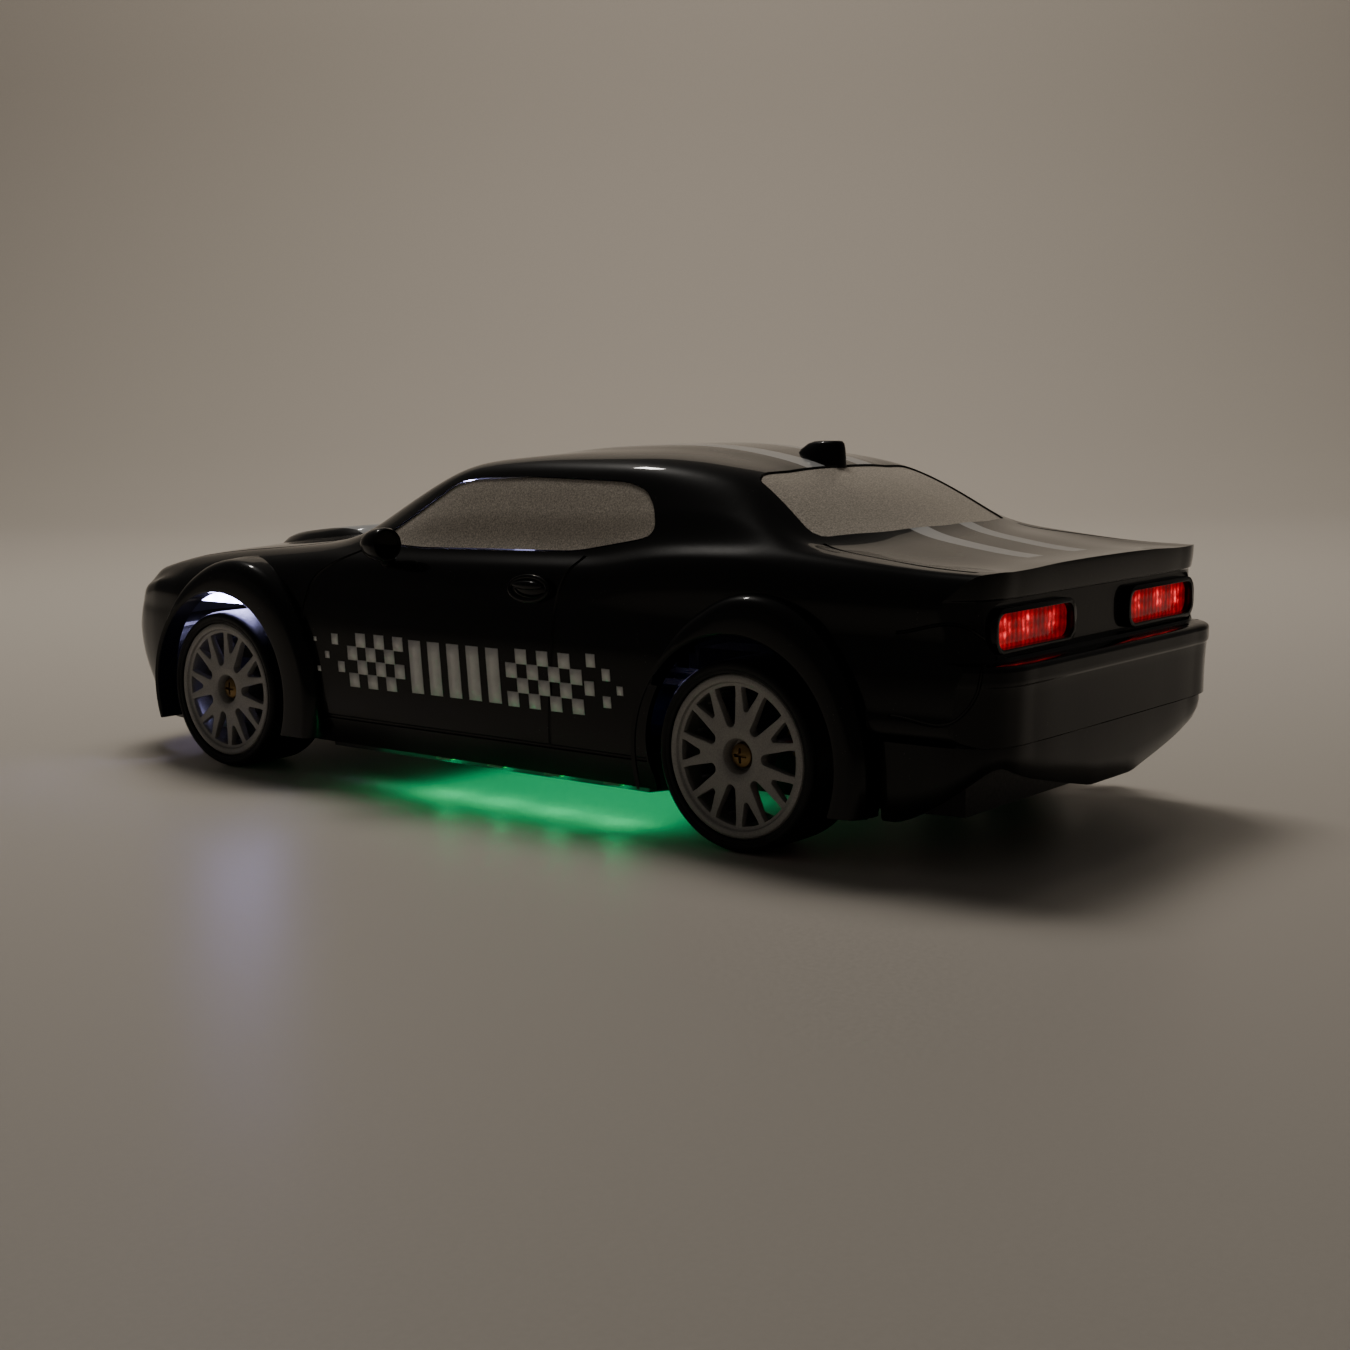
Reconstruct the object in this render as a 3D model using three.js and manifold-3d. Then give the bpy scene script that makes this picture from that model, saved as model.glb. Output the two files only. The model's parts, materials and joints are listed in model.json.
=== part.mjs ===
// A toy remote control car: a muscle coupe of about 1:16, 300 mm long, in millimetres.
// +Z is up, the nose points to -Y and the car's left is +X. The origin is on the ground under the middle.
// A one-piece body shell with separate glazing and lamps sits on a chassis tub. Inside are a battery,
// a circuit board, a transverse drive motor with a two-stage gear train to a solid rear axle, and a
// servo that turns both front knuckles through one tie rod.
import * as THREE from "three";
import { mergeVertices } from "three/addons/utils/BufferGeometryUtils.js";
import Module from "manifold-3d";

const wasm = await Module();
wasm.setup();

// ---- Driving dimensions ----
const AXLE_Y = 87.5; // rear axle; the front axle is at -AXLE_Y
const SIDE_X = 57; // half width of the doors
const SHELL_T = 1.6; // wall of the body shell
const GAP = 0.3; // clearance between pieces that touch on the real car
const SILL_Z = 10.4; // lower edge of the shell between the wheels
const SEAM_Z = 28; // seam between the shell and the lower rear bumper

const TYRE_R = 21.3;
const HUB_Z = TYRE_R;
const RIM_R = 18.2;
const WHEEL_OUT_X = 59.5; // outer face of the wheels
const WHEEL_W = 20;
const ARCH_R = 26.8;
const FLARE_X = 61;

const FLOOR_Z = 8; // underside of the chassis
const FLOOR_T = 2.2;
const AXLE_R = 2;
const STUB_X = 54.6; // ends of the rear axle and the front stub axles

const KINGPIN_X = 46;
const STEER_ARM = 9; // kingpin to track-rod pin
const HORN_ARM = 13.5;
const ROD_Z = 24.3;

const MODULE = 0.8; // gear module
const PINION_T = 10;
const IDLER_BIG_T = 26;
const IDLER_SMALL_T = 12;
const AXLE_GEAR_T = 24;

// ---- Materials ----
const paint = (color, roughness, metalness = 0) => new THREE.MeshStandardMaterial({ color, roughness, metalness });
const gloss = paint(0x060606, 0.12);
const satinBlack = paint(0x141414, 0.55);
const frosted = paint(0x77706a, 0.5);
const rimGrey = paint(0x8b8a88, 0.4, 0.2);
const rubber = paint(0x0c0c0c, 0.75);
const steel = paint(0xb8b8b8, 0.3, 1);
const brass = paint(0xb08d4a, 0.35, 1);
const nylon = paint(0xe4e2da, 0.5);
const red = paint(0xd01018, 0.15);
const clear = paint(0xdfe8f5, 0.1);
const green = paint(0x12d070, 0.3);
const blueWrap = paint(0x2450a0, 0.35);
const boardGreen = paint(0x0d5a32, 0.4);

// ---- Geometry helpers ----
function solid(geometry) {
  const bare = geometry.index ? geometry.toNonIndexed() : geometry.clone();
  bare.deleteAttribute("normal");
  bare.deleteAttribute("uv");
  const merged = mergeVertices(bare, 1e-4);
  const made = new wasm.Manifold(
    new wasm.Mesh({
      numProp: 3,
      vertProperties: new Float32Array(merged.attributes.position.array),
      triVerts: new Uint32Array(merged.index.array),
    }),
  );
  return made;
}

function geometryOf(manifold) {
  const mesh = manifold.getMesh();
  const geometry = new THREE.BufferGeometry();
  const points = new Float32Array(mesh.numVert * 3);
  for (let v = 0; v < mesh.numVert; v++) {
    for (let k = 0; k < 3; k++) points[3 * v + k] = mesh.vertProperties[mesh.numProp * v + k];
  }
  geometry.setAttribute("position", new THREE.BufferAttribute(points, 3));
  geometry.setIndex(new THREE.BufferAttribute(new Uint32Array(mesh.triVerts), 1));
  return geometry;
}

const union = (...pieces) => pieces.reduce((sum, piece) => sum.add(piece));
const cut = (base, ...tools) => tools.reduce((left, tool) => left.subtract(tool), base);

function boxSolid(x0, x1, y0, y1, z0, z1) {
  const box = new THREE.BoxGeometry(x1 - x0, y1 - y0, z1 - z0);
  return solid(box.translate((x0 + x1) / 2, (y0 + y1) / 2, (z0 + z1) / 2));
}

// A cylinder along X, Y or Z, from one coordinate to another.
function rod(axis, radius, from, to, at, sides = 12) {
  const cylinder = new THREE.CylinderGeometry(radius, radius, to - from, sides);
  const middle = (from + to) / 2;
  if (axis === "x") cylinder.rotateZ(Math.PI / 2).translate(middle, at[0], at[1]);
  if (axis === "y") cylinder.translate(at[0], middle, at[1]);
  if (axis === "z") cylinder.rotateX(Math.PI / 2).translate(at[0], at[1], middle);
  return solid(cylinder);
}

function shapeOf(points) {
  return new THREE.Shape(points.map(([a, b]) => new THREE.Vector2(a, b)));
}

// A shape drawn in (y, z), extruded along X.
function prismX(shape, x0, x1, curveSegments = 8) {
  const prism = new THREE.ExtrudeGeometry(shape, { depth: x1 - x0, bevelEnabled: false, curveSegments });
  const turn = new THREE.Matrix4().makeBasis(
    new THREE.Vector3(0, 1, 0),
    new THREE.Vector3(0, 0, 1),
    new THREE.Vector3(1, 0, 0),
  );
  return solid(prism.applyMatrix4(turn).translate(x0, 0, 0));
}

// A shape drawn in (x, y), extruded along Z.
function prismZ(shape, z0, z1, curveSegments = 8) {
  const prism = new THREE.ExtrudeGeometry(shape, { depth: z1 - z0, bevelEnabled: false, curveSegments });
  return solid(prism.translate(0, 0, z0));
}

// A shape drawn in (x, z), extruded along Y.
function prismY(shape, y0, y1, curveSegments = 8) {
  const prism = new THREE.ExtrudeGeometry(shape, { depth: y1 - y0, bevelEnabled: false, curveSegments });
  return solid(prism.rotateX(Math.PI / 2).translate(0, y1, 0));
}

// Moves every side of a counterclockwise outline inwards by d, corner by corner.
function inset(points, d) {
  const count = points.length;
  return points.map((point, i) => {
    const before = points[(i + count - 1) % count];
    const after = points[(i + 1) % count];
    const a = new THREE.Vector2(point[0] - before[0], point[1] - before[1]).normalize();
    const b = new THREE.Vector2(after[0] - point[0], after[1] - point[1]).normalize();
    const bisector = new THREE.Vector2(-a.y - b.y, a.x + b.x).normalize();
    const reach = d / Math.max(0.35, bisector.dot(new THREE.Vector2(-a.y, a.x)));
    return [point[0] + bisector.x * reach, point[1] + bisector.y * reach];
  });
}

function roundedRect(x0, x1, y0, y1, r) {
  const shape = new THREE.Shape();
  shape.moveTo(x0 + r, y0);
  shape.lineTo(x1 - r, y0);
  shape.absarc(x1 - r, y0 + r, r, -Math.PI / 2, 0);
  shape.lineTo(x1, y1 - r);
  shape.absarc(x1 - r, y1 - r, r, 0, Math.PI / 2);
  shape.lineTo(x0 + r, y1);
  shape.absarc(x0 + r, y1 - r, r, Math.PI / 2, Math.PI);
  shape.lineTo(x0, y0 + r);
  shape.absarc(x0 + r, y0 + r, r, Math.PI, 1.5 * Math.PI);
  return shape;
}

// Straight-line look-up in a table of [key, value] rows.
function lookUp(rows, key, column = 1) {
  if (key <= rows[0][0]) return rows[0][column];
  for (let i = 1; i < rows.length; i++) {
    if (key > rows[i][0]) continue;
    const t = (key - rows[i - 1][0]) / (rows[i][0] - rows[i - 1][0]);
    return rows[i - 1][column] + t * (rows[i][column] - rows[i - 1][column]);
  }
  return rows[rows.length - 1][column];
}

// ---- The body surface ----
// Cross-sections by station: belt line x and z, roof rail (or bonnet shoulder) x and z,
// height halfway in, height on the centre line.
const SECTIONS = [
  [-150, 52, 49.6, 32, 50.2, 50.5, 50.6],
  [-136, 51, 51.2, 32, 52.6, 53.2, 53.4],
  [-122, 49, 53.8, 31, 55.4, 56.2, 56.5],
  [-95, 47.5, 57.4, 31, 59, 60, 60.2],
  [-69, 48, 59.5, 32, 61, 62, 62.3],
  [-50, 48.6, 60.9, 37, 63.4, 63.8, 63.9],
  [-44, 49.2, 61.1, 38, 66.2, 67.2, 67.6],
  [-28, 50, 61.5, 38, 74.2, 76, 76.4],
  [-12, 50, 61.7, 38, 80.6, 83.2, 83.8],
  [0, 50, 61.9, 38, 81.8, 84.8, 85.6],
  [15, 50, 62.2, 38, 82.1, 86.2, 87],
  [40, 50, 62.8, 38, 82.1, 86.8, 87.6],
  [60, 50, 66, 37.6, 81.3, 85.2, 86],
  [72, 50.2, 66.6, 37.4, 79.6, 82.4, 83],
  [86, 50.6, 66.8, 41.5, 72.4, 75, 75.6],
  [98, 50.8, 65.8, 44, 66.4, 67.6, 68],
  [105, 51.2, 65, 43, 65.6, 66.3, 66.5],
  [136, 53, 62.5, 43, 63, 63.3, 63.4],
  [150, 54, 62.2, 43, 63, 63.8, 64],
];
// How far the plan closes in towards the nose and the tail, as a share of the full width.
const PLAN = [
  [-150, 0.01],
  [-149.8, 0.18],
  [-149, 0.36],
  [-146.5, 0.62],
  [-142.5, 0.78],
  [-136, 0.885],
  [-126, 0.95],
  [-115, 0.985],
  [-100, 1],
  [100, 1],
  [118, 0.98],
  [136, 0.955],
  [143, 0.93],
  [147.5, 0.88],
  [149.6, 0.8],
  [149.9, 0.4],
  [150, 0.01],
];
// How far the nose and tail faces stand back, by height.
const NOSE_SET_BACK = [
  [10, 14],
  [20, 7.2],
  [28.8, 1.6],
  [35, 0],
  [38, 0.6],
  [50, 6],
];
const TAIL_SET_BACK = [
  [28, 1],
  [41.5, 0],
  [44.5, 1],
  [46, 4.6],
  [57, 6.4],
  [64, 4.6],
];
// How far the middle of the windscreen base leads its corners, and the rear window and boot trail theirs.
const BOW = [
  [-100, 0],
  [-50, 6.5],
  [-12, 3],
  [0, 0],
  [60, 0],
  [72, -2.5],
  [98, -7.2],
  [136, -2],
  [150, 0],
];
const STATIONS = [
  -150, -149, -146.5, -142.5, -136, -126, -112, -92, -69, -50, -44, -28, -12, 0, 15, 40, 60, 72, 86, 98, 105, 118,
  119.5, 136, 143, 147.5, 149.6, 150,
];

function place(s, x, z) {
  const nose = lookUp(NOSE_SET_BACK, z) * THREE.MathUtils.clamp((-112 - s) / 38, 0, 1);
  const tail = lookUp(TAIL_SET_BACK, z) * THREE.MathUtils.clamp((s - 118) / 32, 0, 1);
  const bow = lookUp(BOW, s) * (1 - (x / 50) ** 2);
  return new THREE.Vector3(x, s + nose - tail - Math.sign(z - 60 > 0 ? 1 : 0) * bow, z);
}

// Half of one cross-section, from the lower edge up and in to the centre line.
function halfSection(s) {
  const [beltX, beltZ, railX, railZ, midZ, topZ] = [1, 2, 3, 4, 5, 6].map((column) => lookUp(SECTIONS, s, column));
  const share = lookUp(PLAN, s);
  const low = s > 118 ? THREE.MathUtils.lerp(SILL_Z, SEAM_Z, Math.min(1, (s - 118) / 1.5)) : SILL_Z;
  const points = [
    [SIDE_X - 2.4, low],
    [SIDE_X - 0.6, Math.max(17.4, low + 1)],
    [SIDE_X, 35],
    [SIDE_X - 0.2, 41.5],
    [SIDE_X - 0.9, Math.min(49, beltZ - 4.5)],
    [(SIDE_X + beltX) / 2 + 0.6, beltZ - 3.2],
    [beltX, beltZ],
    [(beltX + railX) / 2 + 0.7, (beltZ + railZ) / 2 + 0.4],
    [railX, railZ],
    [railX / 2, midZ],
    [0, topZ],
  ];
  return points.map(([x, z]) => place(s, x * share, z));
}

const surface = STATIONS.map(halfSection);

function normalAt(i, j) {
  const last = surface.length - 1;
  const along = surface[Math.min(i + 1, last)][j].clone().sub(surface[Math.max(i - 1, 0)][j]);
  const lastPoint = surface[i].length - 1;
  const up = surface[i][Math.min(j + 1, lastPoint)].clone().sub(surface[i][Math.max(j - 1, 0)]);
  if (j === lastPoint) up.set(-1, 0, 0);
  const normal = along.cross(up).normalize();
  if (i === 0) normal.set(0, -1, 0);
  if (i === last) normal.set(0, 1, 0);
  if (j === lastPoint) normal.setX(0).normalize();
  return normal;
}

// The body as a closed solid, moved inwards by a depth. An open one runs down past every lower edge.
function skin(depth, open) {
  const rings = surface.map((half, i) => {
    const moved = half.map((point, j) => point.clone().addScaledVector(normalAt(i, j), -depth));
    for (const point of moved) point.x = Math.max(point.x, 0);
    const foot = moved[0].clone();
    if (open) foot.z = -20;
    const left = open ? [foot, ...moved] : moved;
    const right = left.slice(0, -1).reverse();
    return [...left, ...right.map((point) => new THREE.Vector3(-Math.max(point.x, 0.05), point.y, point.z))].map(
      (point, k) => (k < left.length - 1 ? new THREE.Vector3(Math.max(point.x, 0.05), point.y, point.z) : point),
    );
  });
  return solid(loft(rings));
}

// A closed solid through rings of equal length. A ring starts at the left foot, runs over the top and
// ends at the right foot, and the strips of its end caps join each point to its mirror image.
function loft(rings) {
  const size = rings[0].length;
  const index = [];
  for (let i = 0; i + 1 < rings.length; i++) {
    for (let j = 0; j < size; j++) {
      const a = i * size + j;
      const b = i * size + ((j + 1) % size);
      index.push(a, a + size, b, b, a + size, b + size);
    }
  }
  const last = (rings.length - 1) * size;
  for (let j = 0; j < (size - 1) / 2; j++) {
    const k = size - 1 - j;
    index.push(j, j + 1, k, j + 1, k - 1, k);
    index.push(last + j, last + k, last + j + 1, last + j + 1, last + k, last + k - 1);
  }
  const geometry = new THREE.BufferGeometry().setFromPoints(rings.flat());
  geometry.setIndex(index);
  return geometry;
}

const outside = skin(0, false);
const around = skin(-GAP, false);

// ---- Openings in the shell ----
const SIDE_GLASS = [
  [-37, 62.6],
  [-20, 61.9],
  [33, 63],
  [55, 67],
  [56, 69.4],
  [53.5, 73.6],
  [48.6, 77.8],
  [42, 79.6],
  [13, 80.2],
  [-8, 79.4],
  [-14.5, 78],
];
const WINDSCREEN = [
  [-35, -48.6],
  [-18, -53],
  [0, -54.6],
  [18, -53],
  [35, -48.6],
  [33.5, -15.5],
  [17, -12.6],
  [0, -11.6],
  [-17, -12.6],
  [-33.5, -15.5],
];
const REAR_GLASS = [
  [-33, 73.4],
  [-17, 75],
  [0, 75.6],
  [17, 75],
  [33, 73.4],
  [41.5, 97],
  [22, 102.6],
  [0, 104.4],
  [-22, 102.6],
  [-41.5, 97],
];
const LAMP = { x0: 14.5, x1: 45.5, z0: 46.6, z1: 55, r: 3.2 };
const GRILLE = { x: 40, z0: 36, z1: 48, r: 4 };
const HEADLAMP = { x: 32, z: 42, r: 4.4 };

function archCutter(centreY) {
  const opening = rod("x", ARCH_R, -80, 80, [centreY, HUB_Z], 28);
  return union(opening, boxSolid(-80, 80, centreY - ARCH_R + 1.5, centreY + ARCH_R - 1.5, -30, HUB_Z - 8));
}

// A flare is a fat lip around the arch, wider behind the front wheel and ahead of the tail.
function flare(centreY, shiftY, halfLength, side) {
  const outline = new THREE.Shape();
  const foot = 12.5;
  const dip = Math.asin((20 - foot) / 37);
  outline.absellipse(centreY + shiftY, 20, halfLength, 37, -dip, Math.PI + dip, false);
  outline.closePath();
  const depth = 5;
  const edge = 2.4;
  const body = new THREE.ExtrudeGeometry(outline, {
    depth,
    bevelThickness: edge,
    bevelSize: 2.6,
    bevelOffset: -2.6,
    bevelSegments: 1,
    curveSegments: 10,
  });
  const turn = new THREE.Matrix4().makeBasis(
    new THREE.Vector3(0, 1, 0),
    new THREE.Vector3(0, 0, 1),
    new THREE.Vector3(1, 0, 0),
  );
  const start = side > 0 ? FLARE_X - depth - edge : edge - FLARE_X;
  return solid(body.applyMatrix4(turn).translate(start, 0, 0));
}

function flares() {
  const all = [];
  for (const side of [1, -1]) {
    all.push(flare(AXLE_Y, 4, 29.5, side));
    all.push(flare(-AXLE_Y, 5, 32.5, side));
  }
  return all;
}

const arches = union(archCutter(AXLE_Y), archCutter(-AXLE_Y));

function bodyPost(x, y) {
  const post = rod("z", 3, FLOOR_Z + FLOOR_T + GAP, 70, [x, y], 10);
  return post.intersect(skin(0.6, true)).subtract(rod("z", 1.5, 0, 30, [x, y], 8));
}

const POSTS = [
  [19, -121],
  [-19, -121],
  [22, 122],
  [-22, 122],
];

function bodyShell() {
  const lampHoles = [1, -1].map((side) => {
    const [a, b] = side > 0 ? [LAMP.x0, LAMP.x1] : [-LAMP.x1, -LAMP.x0];
    return prismY(roundedRect(a, b, LAMP.z0, LAMP.z1, LAMP.r), 136, 160, 3);
  });
  const wall = cut(union(outside, ...flares()), skin(SHELL_T, true));
  const wheelRoom = cut(wall, arches);
  const posts = POSTS.map(([x, y]) => bodyPost(x, y));
  return cut(
    union(wheelRoom, ...posts),
    prismX(shapeOf(SIDE_GLASS), -70, 70),
    prismZ(shapeOf(WINDSCREEN), 61, 100),
    prismZ(shapeOf(REAR_GLASS), 62, 100),
    prismY(roundedRect(-GRILLE.x, GRILLE.x, GRILLE.z0, GRILLE.z1, GRILLE.r), -160, -138, 3),
    ...lampHoles,
  );
}

// Glazing lies flush in its opening.
const glazingLayer = skin(GAP, true).subtract(skin(SHELL_T, true));

function glazing(prism) {
  return glazingLayer.intersect(prism);
}

const sideGlass = (x0, x1) => glazing(prismX(shapeOf(inset(SIDE_GLASS, GAP)), x0, x1));

// ---- Trim on the shell ----
function bonnetScoop() {
  const plan = [
    [-15, -120],
    [15, -120],
    [18, -112],
    [18, -84],
    [13, -74],
    [-13, -74],
    [-18, -84],
    [-18, -112],
  ];
  const side = [
    [-122, 50],
    [-72, 50],
    [-72, 62.4],
    [-84, 63.3],
    [-104, 62.9],
    [-112, 61.6],
    [-119, 58.2],
  ];
  const block = prismZ(shapeOf(plan), 50, 70).intersect(prismX(shapeOf(side), -30, 30));
  const mouth = prismZ(roundedRect(-12, 12, -110, -90, 4), 62, 70, 3);
  return cut(block, around, mouth);
}

function roofFin() {
  const outline = [
    [58, 80],
    [75.6, 80],
    [75.6, 87.2],
    [74.4, 88.3],
    [67.5, 88.3],
    [62, 86.8],
  ];
  return cut(prismX(shapeOf(outline), -3, 3), around);
}

function mirror(side) {
  const head = new THREE.SphereGeometry(5, 10, 6).scale(0.95, 1.3, 0.85).translate(58.2, -24.5, 63.2);
  const bowl = cut(solid(head), boxSolid(40, 80, -21.5, -10, 50, 80));
  const stalk = new THREE.CylinderGeometry(1.6, 2.2, 9, 8).rotateZ(-0.75).translate(54.6, -25.5, 59.4);
  const made = cut(union(bowl, solid(stalk)), around);
  return side > 0 ? geometryOf(made) : mirrored(geometryOf(made));
}

function mirrored(geometry) {
  const flipped = geometry.clone().scale(-1, 1, 1);
  const index = flipped.index.array;
  for (let i = 0; i < index.length; i += 3) [index[i + 1], index[i + 2]] = [index[i + 2], index[i + 1]];
  return flipped;
}

function doorHandle() {
  const oval = new THREE.SphereGeometry(1, 12, 6).scale(2.6, 6, 2.7).translate(SIDE_X - 1.2, 25.2, 54.8);
  return cut(solid(oval), around);
}

// ---- Lamps and front ----
function tailLamp() {
  const r = LAMP.r - GAP;
  const shape = roundedRect(LAMP.x0 + GAP, LAMP.x1 - GAP, LAMP.z0 + GAP, LAMP.z1 - GAP, r);
  return prismY(shape, 136, 158, 3).intersect(skin(1.2, true)).subtract(skin(3.4, true));
}

function tailLampBoard(side) {
  const [a, b] = side > 0 ? [17, 43] : [-43, -17];
  return boxSolid(a, b, 132.2, 134, 47, 54.5);
}

function frontGrille() {
  const r = GRILLE.r - GAP;
  const x = GRILLE.x - GAP;
  const plate = prismY(roundedRect(-x, x, GRILLE.z0 + GAP, GRILLE.z1 - GAP, r), -160, -134, 3);
  const panel = plate.intersect(skin(1.4, true)).subtract(skin(4.2, true));
  const seats = [1, -1].map((side) => rod("y", HEADLAMP.r + GAP, -160, -130, [side * HEADLAMP.x, HEADLAMP.z], 12));
  return cut(panel, ...seats);
}

function headlamp(side) {
  const lens = rod("y", HEADLAMP.r, -147.4, -138.6, [side * HEADLAMP.x, HEADLAMP.z], 12);
  return lens.intersect(skin(1, true)).subtract(skin(6, true));
}

// The lower rear bumper: its underside rises towards the tail, and more at the corners than in the middle.
const VALANCE_UNDERSIDE = [
  [112, 9, 9.5, 10],
  [130, 10, 10.5, 11],
  [152, 14.5, 18.4, 24.4],
];

function rearValance() {
  const outline = new THREE.Shape();
  outline.moveTo(54.3, 121.6);
  outline.lineTo(54.2, 130);
  outline.lineTo(53, 139);
  outline.quadraticCurveTo(51, 146.5, 44, 147.8);
  outline.lineTo(0, 148.6);
  outline.lineTo(-44, 147.8);
  outline.quadraticCurveTo(-51, 146.5, -53, 139);
  outline.lineTo(-54.2, 130);
  outline.lineTo(-54.3, 121.6);
  outline.closePath();
  const full = prismZ(outline, 9, SEAM_Z - GAP, 4);
  const inner = outline.getPoints(4).map((point) => [point.x * 0.965, 120 + (point.y - 120) * 0.94 - 0.6]);
  const hollow = prismZ(shapeOf(inner), -5, 60);
  const rings = VALANCE_UNDERSIDE.map(([y, middle, quarter, corner]) =>
    [
      [70, -5],
      [70, corner],
      [52, corner],
      [36, quarter],
      [9, middle],
      [-9, middle],
      [-36, quarter],
      [-52, corner],
      [-70, corner],
      [-70, -5],
      [0, -5],
    ].map(([x, z]) => new THREE.Vector3(x, y, z)),
  );
  return cut(full, hollow, solid(loft(rings)));
}

// ---- Wheels ----
// Turns a closed (radius, x) profile about the X axis, whichever way round it is listed.
function lathe(profile, segments) {
  const points = profile.map(([r, x]) => new THREE.Vector2(r, x));
  if (THREE.ShapeUtils.area(points) < 0) points.reverse();
  return solid(new THREE.LatheGeometry(points, segments).rotateZ(-Math.PI / 2));
}

// One wheel is drawn for the left side with its middle at x = 0 and its outer face at WHEEL_W / 2.
function rim(rear) {
  const face = WHEEL_W / 2 - 0.6;
  const back = -WHEEL_W / 2 + 0.4;
  const hubBack = rear ? -7 : 0.2;
  const bore = AXLE_R + GAP;
  const profile = [
    [bore, hubBack],
    [5, hubBack],
    [5.6, face - 3.4],
    [15.6, face - 2.6],
    [RIM_R - 1.2, back],
    [RIM_R, back],
    [RIM_R, face],
    [16.3, face],
    [15.8, face - 0.9],
    [3.7, face - 0.9],
    [3.7, face - 4],
    [bore, face - 4],
    [bore, hubBack],
  ];
  const slots = [];
  for (let pair = 0; pair < 7; pair++) {
    slots.push(slot(6.6, 1.15, 3.05, (pair * 2 * Math.PI) / 7));
    slots.push(slot(10.2, 0.6, 2.4, ((pair + 0.5) * 2 * Math.PI) / 7));
  }
  return cut(lathe(profile, 20), union(...slots));
}

function slot(from, halfIn, halfOut, angle) {
  const outline = new THREE.Shape();
  outline.moveTo(from, -halfIn);
  outline.lineTo(15.2, -halfOut);
  outline.lineTo(15.2, halfOut);
  outline.lineTo(from, halfIn);
  outline.closePath();
  const tool = new THREE.ExtrudeGeometry(outline, { depth: 12, bevelEnabled: false });
  tool.rotateZ(angle);
  const turn = new THREE.Matrix4().makeBasis(
    new THREE.Vector3(0, 1, 0),
    new THREE.Vector3(0, 0, 1),
    new THREE.Vector3(1, 0, 0),
  );
  return solid(tool.applyMatrix4(turn));
}

function tyre() {
  const half = WHEEL_W / 2;
  const inner = RIM_R + 0.25;
  const profile = [
    [inner, -half + 0.6],
    [TYRE_R - 1.4, -half],
    [TYRE_R, -half + 1.6],
    [TYRE_R, half - 1.6],
    [TYRE_R - 1.4, half],
    [inner, half - 0.6],
    [inner, -half + 0.6],
  ];
  return lathe(profile, 26);
}

function hubScrew() {
  const profile = [
    [0, 2],
    [1.1, 2],
    [1.1, 5.7],
    [3, 5.7],
    [3, 7.2],
    [2.2, 7.9],
    [0, 7.9],
  ];
  return lathe(profile, 10);
}

// ---- Chassis and what it carries ----
const CHASSIS_PLAN = [
  [26, -128],
  [26, -116],
  [29, -112],
  [29, -62],
  [49, -54],
  [49, 55],
  [32.5, 63],
  [32.5, 112],
  [30, 128],
];
const HATCH = { x: 20, y0: -34, y1: 40 };
const BEARING_X = [27.5, 32.5];

function chassis() {
  const right = CHASSIS_PLAN.map(([x, y]) => [x, y]);
  const left = [...CHASSIS_PLAN].reverse().map(([x, y]) => [-x, y]);
  const plan = [...right, ...left];
  const floor = prismZ(shapeOf(plan), FLOOR_Z, FLOOR_Z + FLOOR_T);
  const tub = prismZ(shapeOf(plan), FLOOR_Z, 17);
  const room = prismZ(shapeOf(inset(plan, 1.8)), FLOOR_Z + FLOOR_T, 30);
  const bearers = [1, -1].map((side) => {
    const [a, b] = BEARING_X.map((x) => x * side).sort((p, q) => p - q);
    return boxSolid(a, b, AXLE_Y - 8, AXLE_Y + 8, FLOOR_Z, HUB_Z + 8);
  });
  const bores = rod("x", 5.3, -40, 40, [AXLE_Y, HUB_Z], 16);
  const hatchHole = boxSolid(-HATCH.x, HATCH.x, HATCH.y0, HATCH.y1, 0, FLOOR_Z + FLOOR_T + 0.1);
  const switchHole = boxSolid(30, 38, -8, 8, 0, 12);
  const screwHoles = POSTS.map(([x, y]) => rod("z", 1.6, 0, 20, [x, y], 8));
  const sinks = POSTS.map(([x, y]) => rod("z", 3, 0, FLOOR_Z + 1.2, [x, y], 8));
  const notches = [1, -1].map((side) => {
    const [a, b] = [26 * side, 40 * side].sort((p, q) => p - q);
    return boxSolid(a, b, -AXLE_Y - 4, -AXLE_Y + 4, FLOOR_Z + FLOOR_T + 0.1, 20);
  });
  const base = union(floor, cut(tub, room), ...bearers);
  return cut(base, bores, ...notches, hatchHole, switchHole, ...screwHoles, ...sinks);
}

function batteryHatch() {
  const x = HATCH.x - GAP;
  const plate = boxSolid(-x, x, HATCH.y0 + GAP, HATCH.y1 - GAP, FLOOR_Z, FLOOR_Z + FLOOR_T);
  const ribs = [-12, 0, 12].map((y) => boxSolid(-14, 14, y - 1, y + 1, FLOOR_Z - 1, FLOOR_Z + 0.6));
  return cut(
    cut(plate, ...ribs),
    rod("z", 1.5, 0, 20, [0, HATCH.y1 - 4], 8),
    rod("z", 2.9, 0, FLOOR_Z + 1.2, [0, HATCH.y1 - 4], 12),
  );
}

function screw(x, y, length) {
  const profile = [
    [0, FLOOR_Z + 0.2],
    [2.5, FLOOR_Z + 0.2],
    [2.5, FLOOR_Z + 0.9],
    [1.15, FLOOR_Z + 0.9],
    [1.15, FLOOR_Z + length],
    [0, FLOOR_Z + length],
  ];
  const turned = new THREE.LatheGeometry(
    profile.map(([r, z]) => new THREE.Vector2(r, z)),
    8,
  );
  return solid(turned.rotateX(Math.PI / 2).translate(x, y, 0));
}

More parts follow.
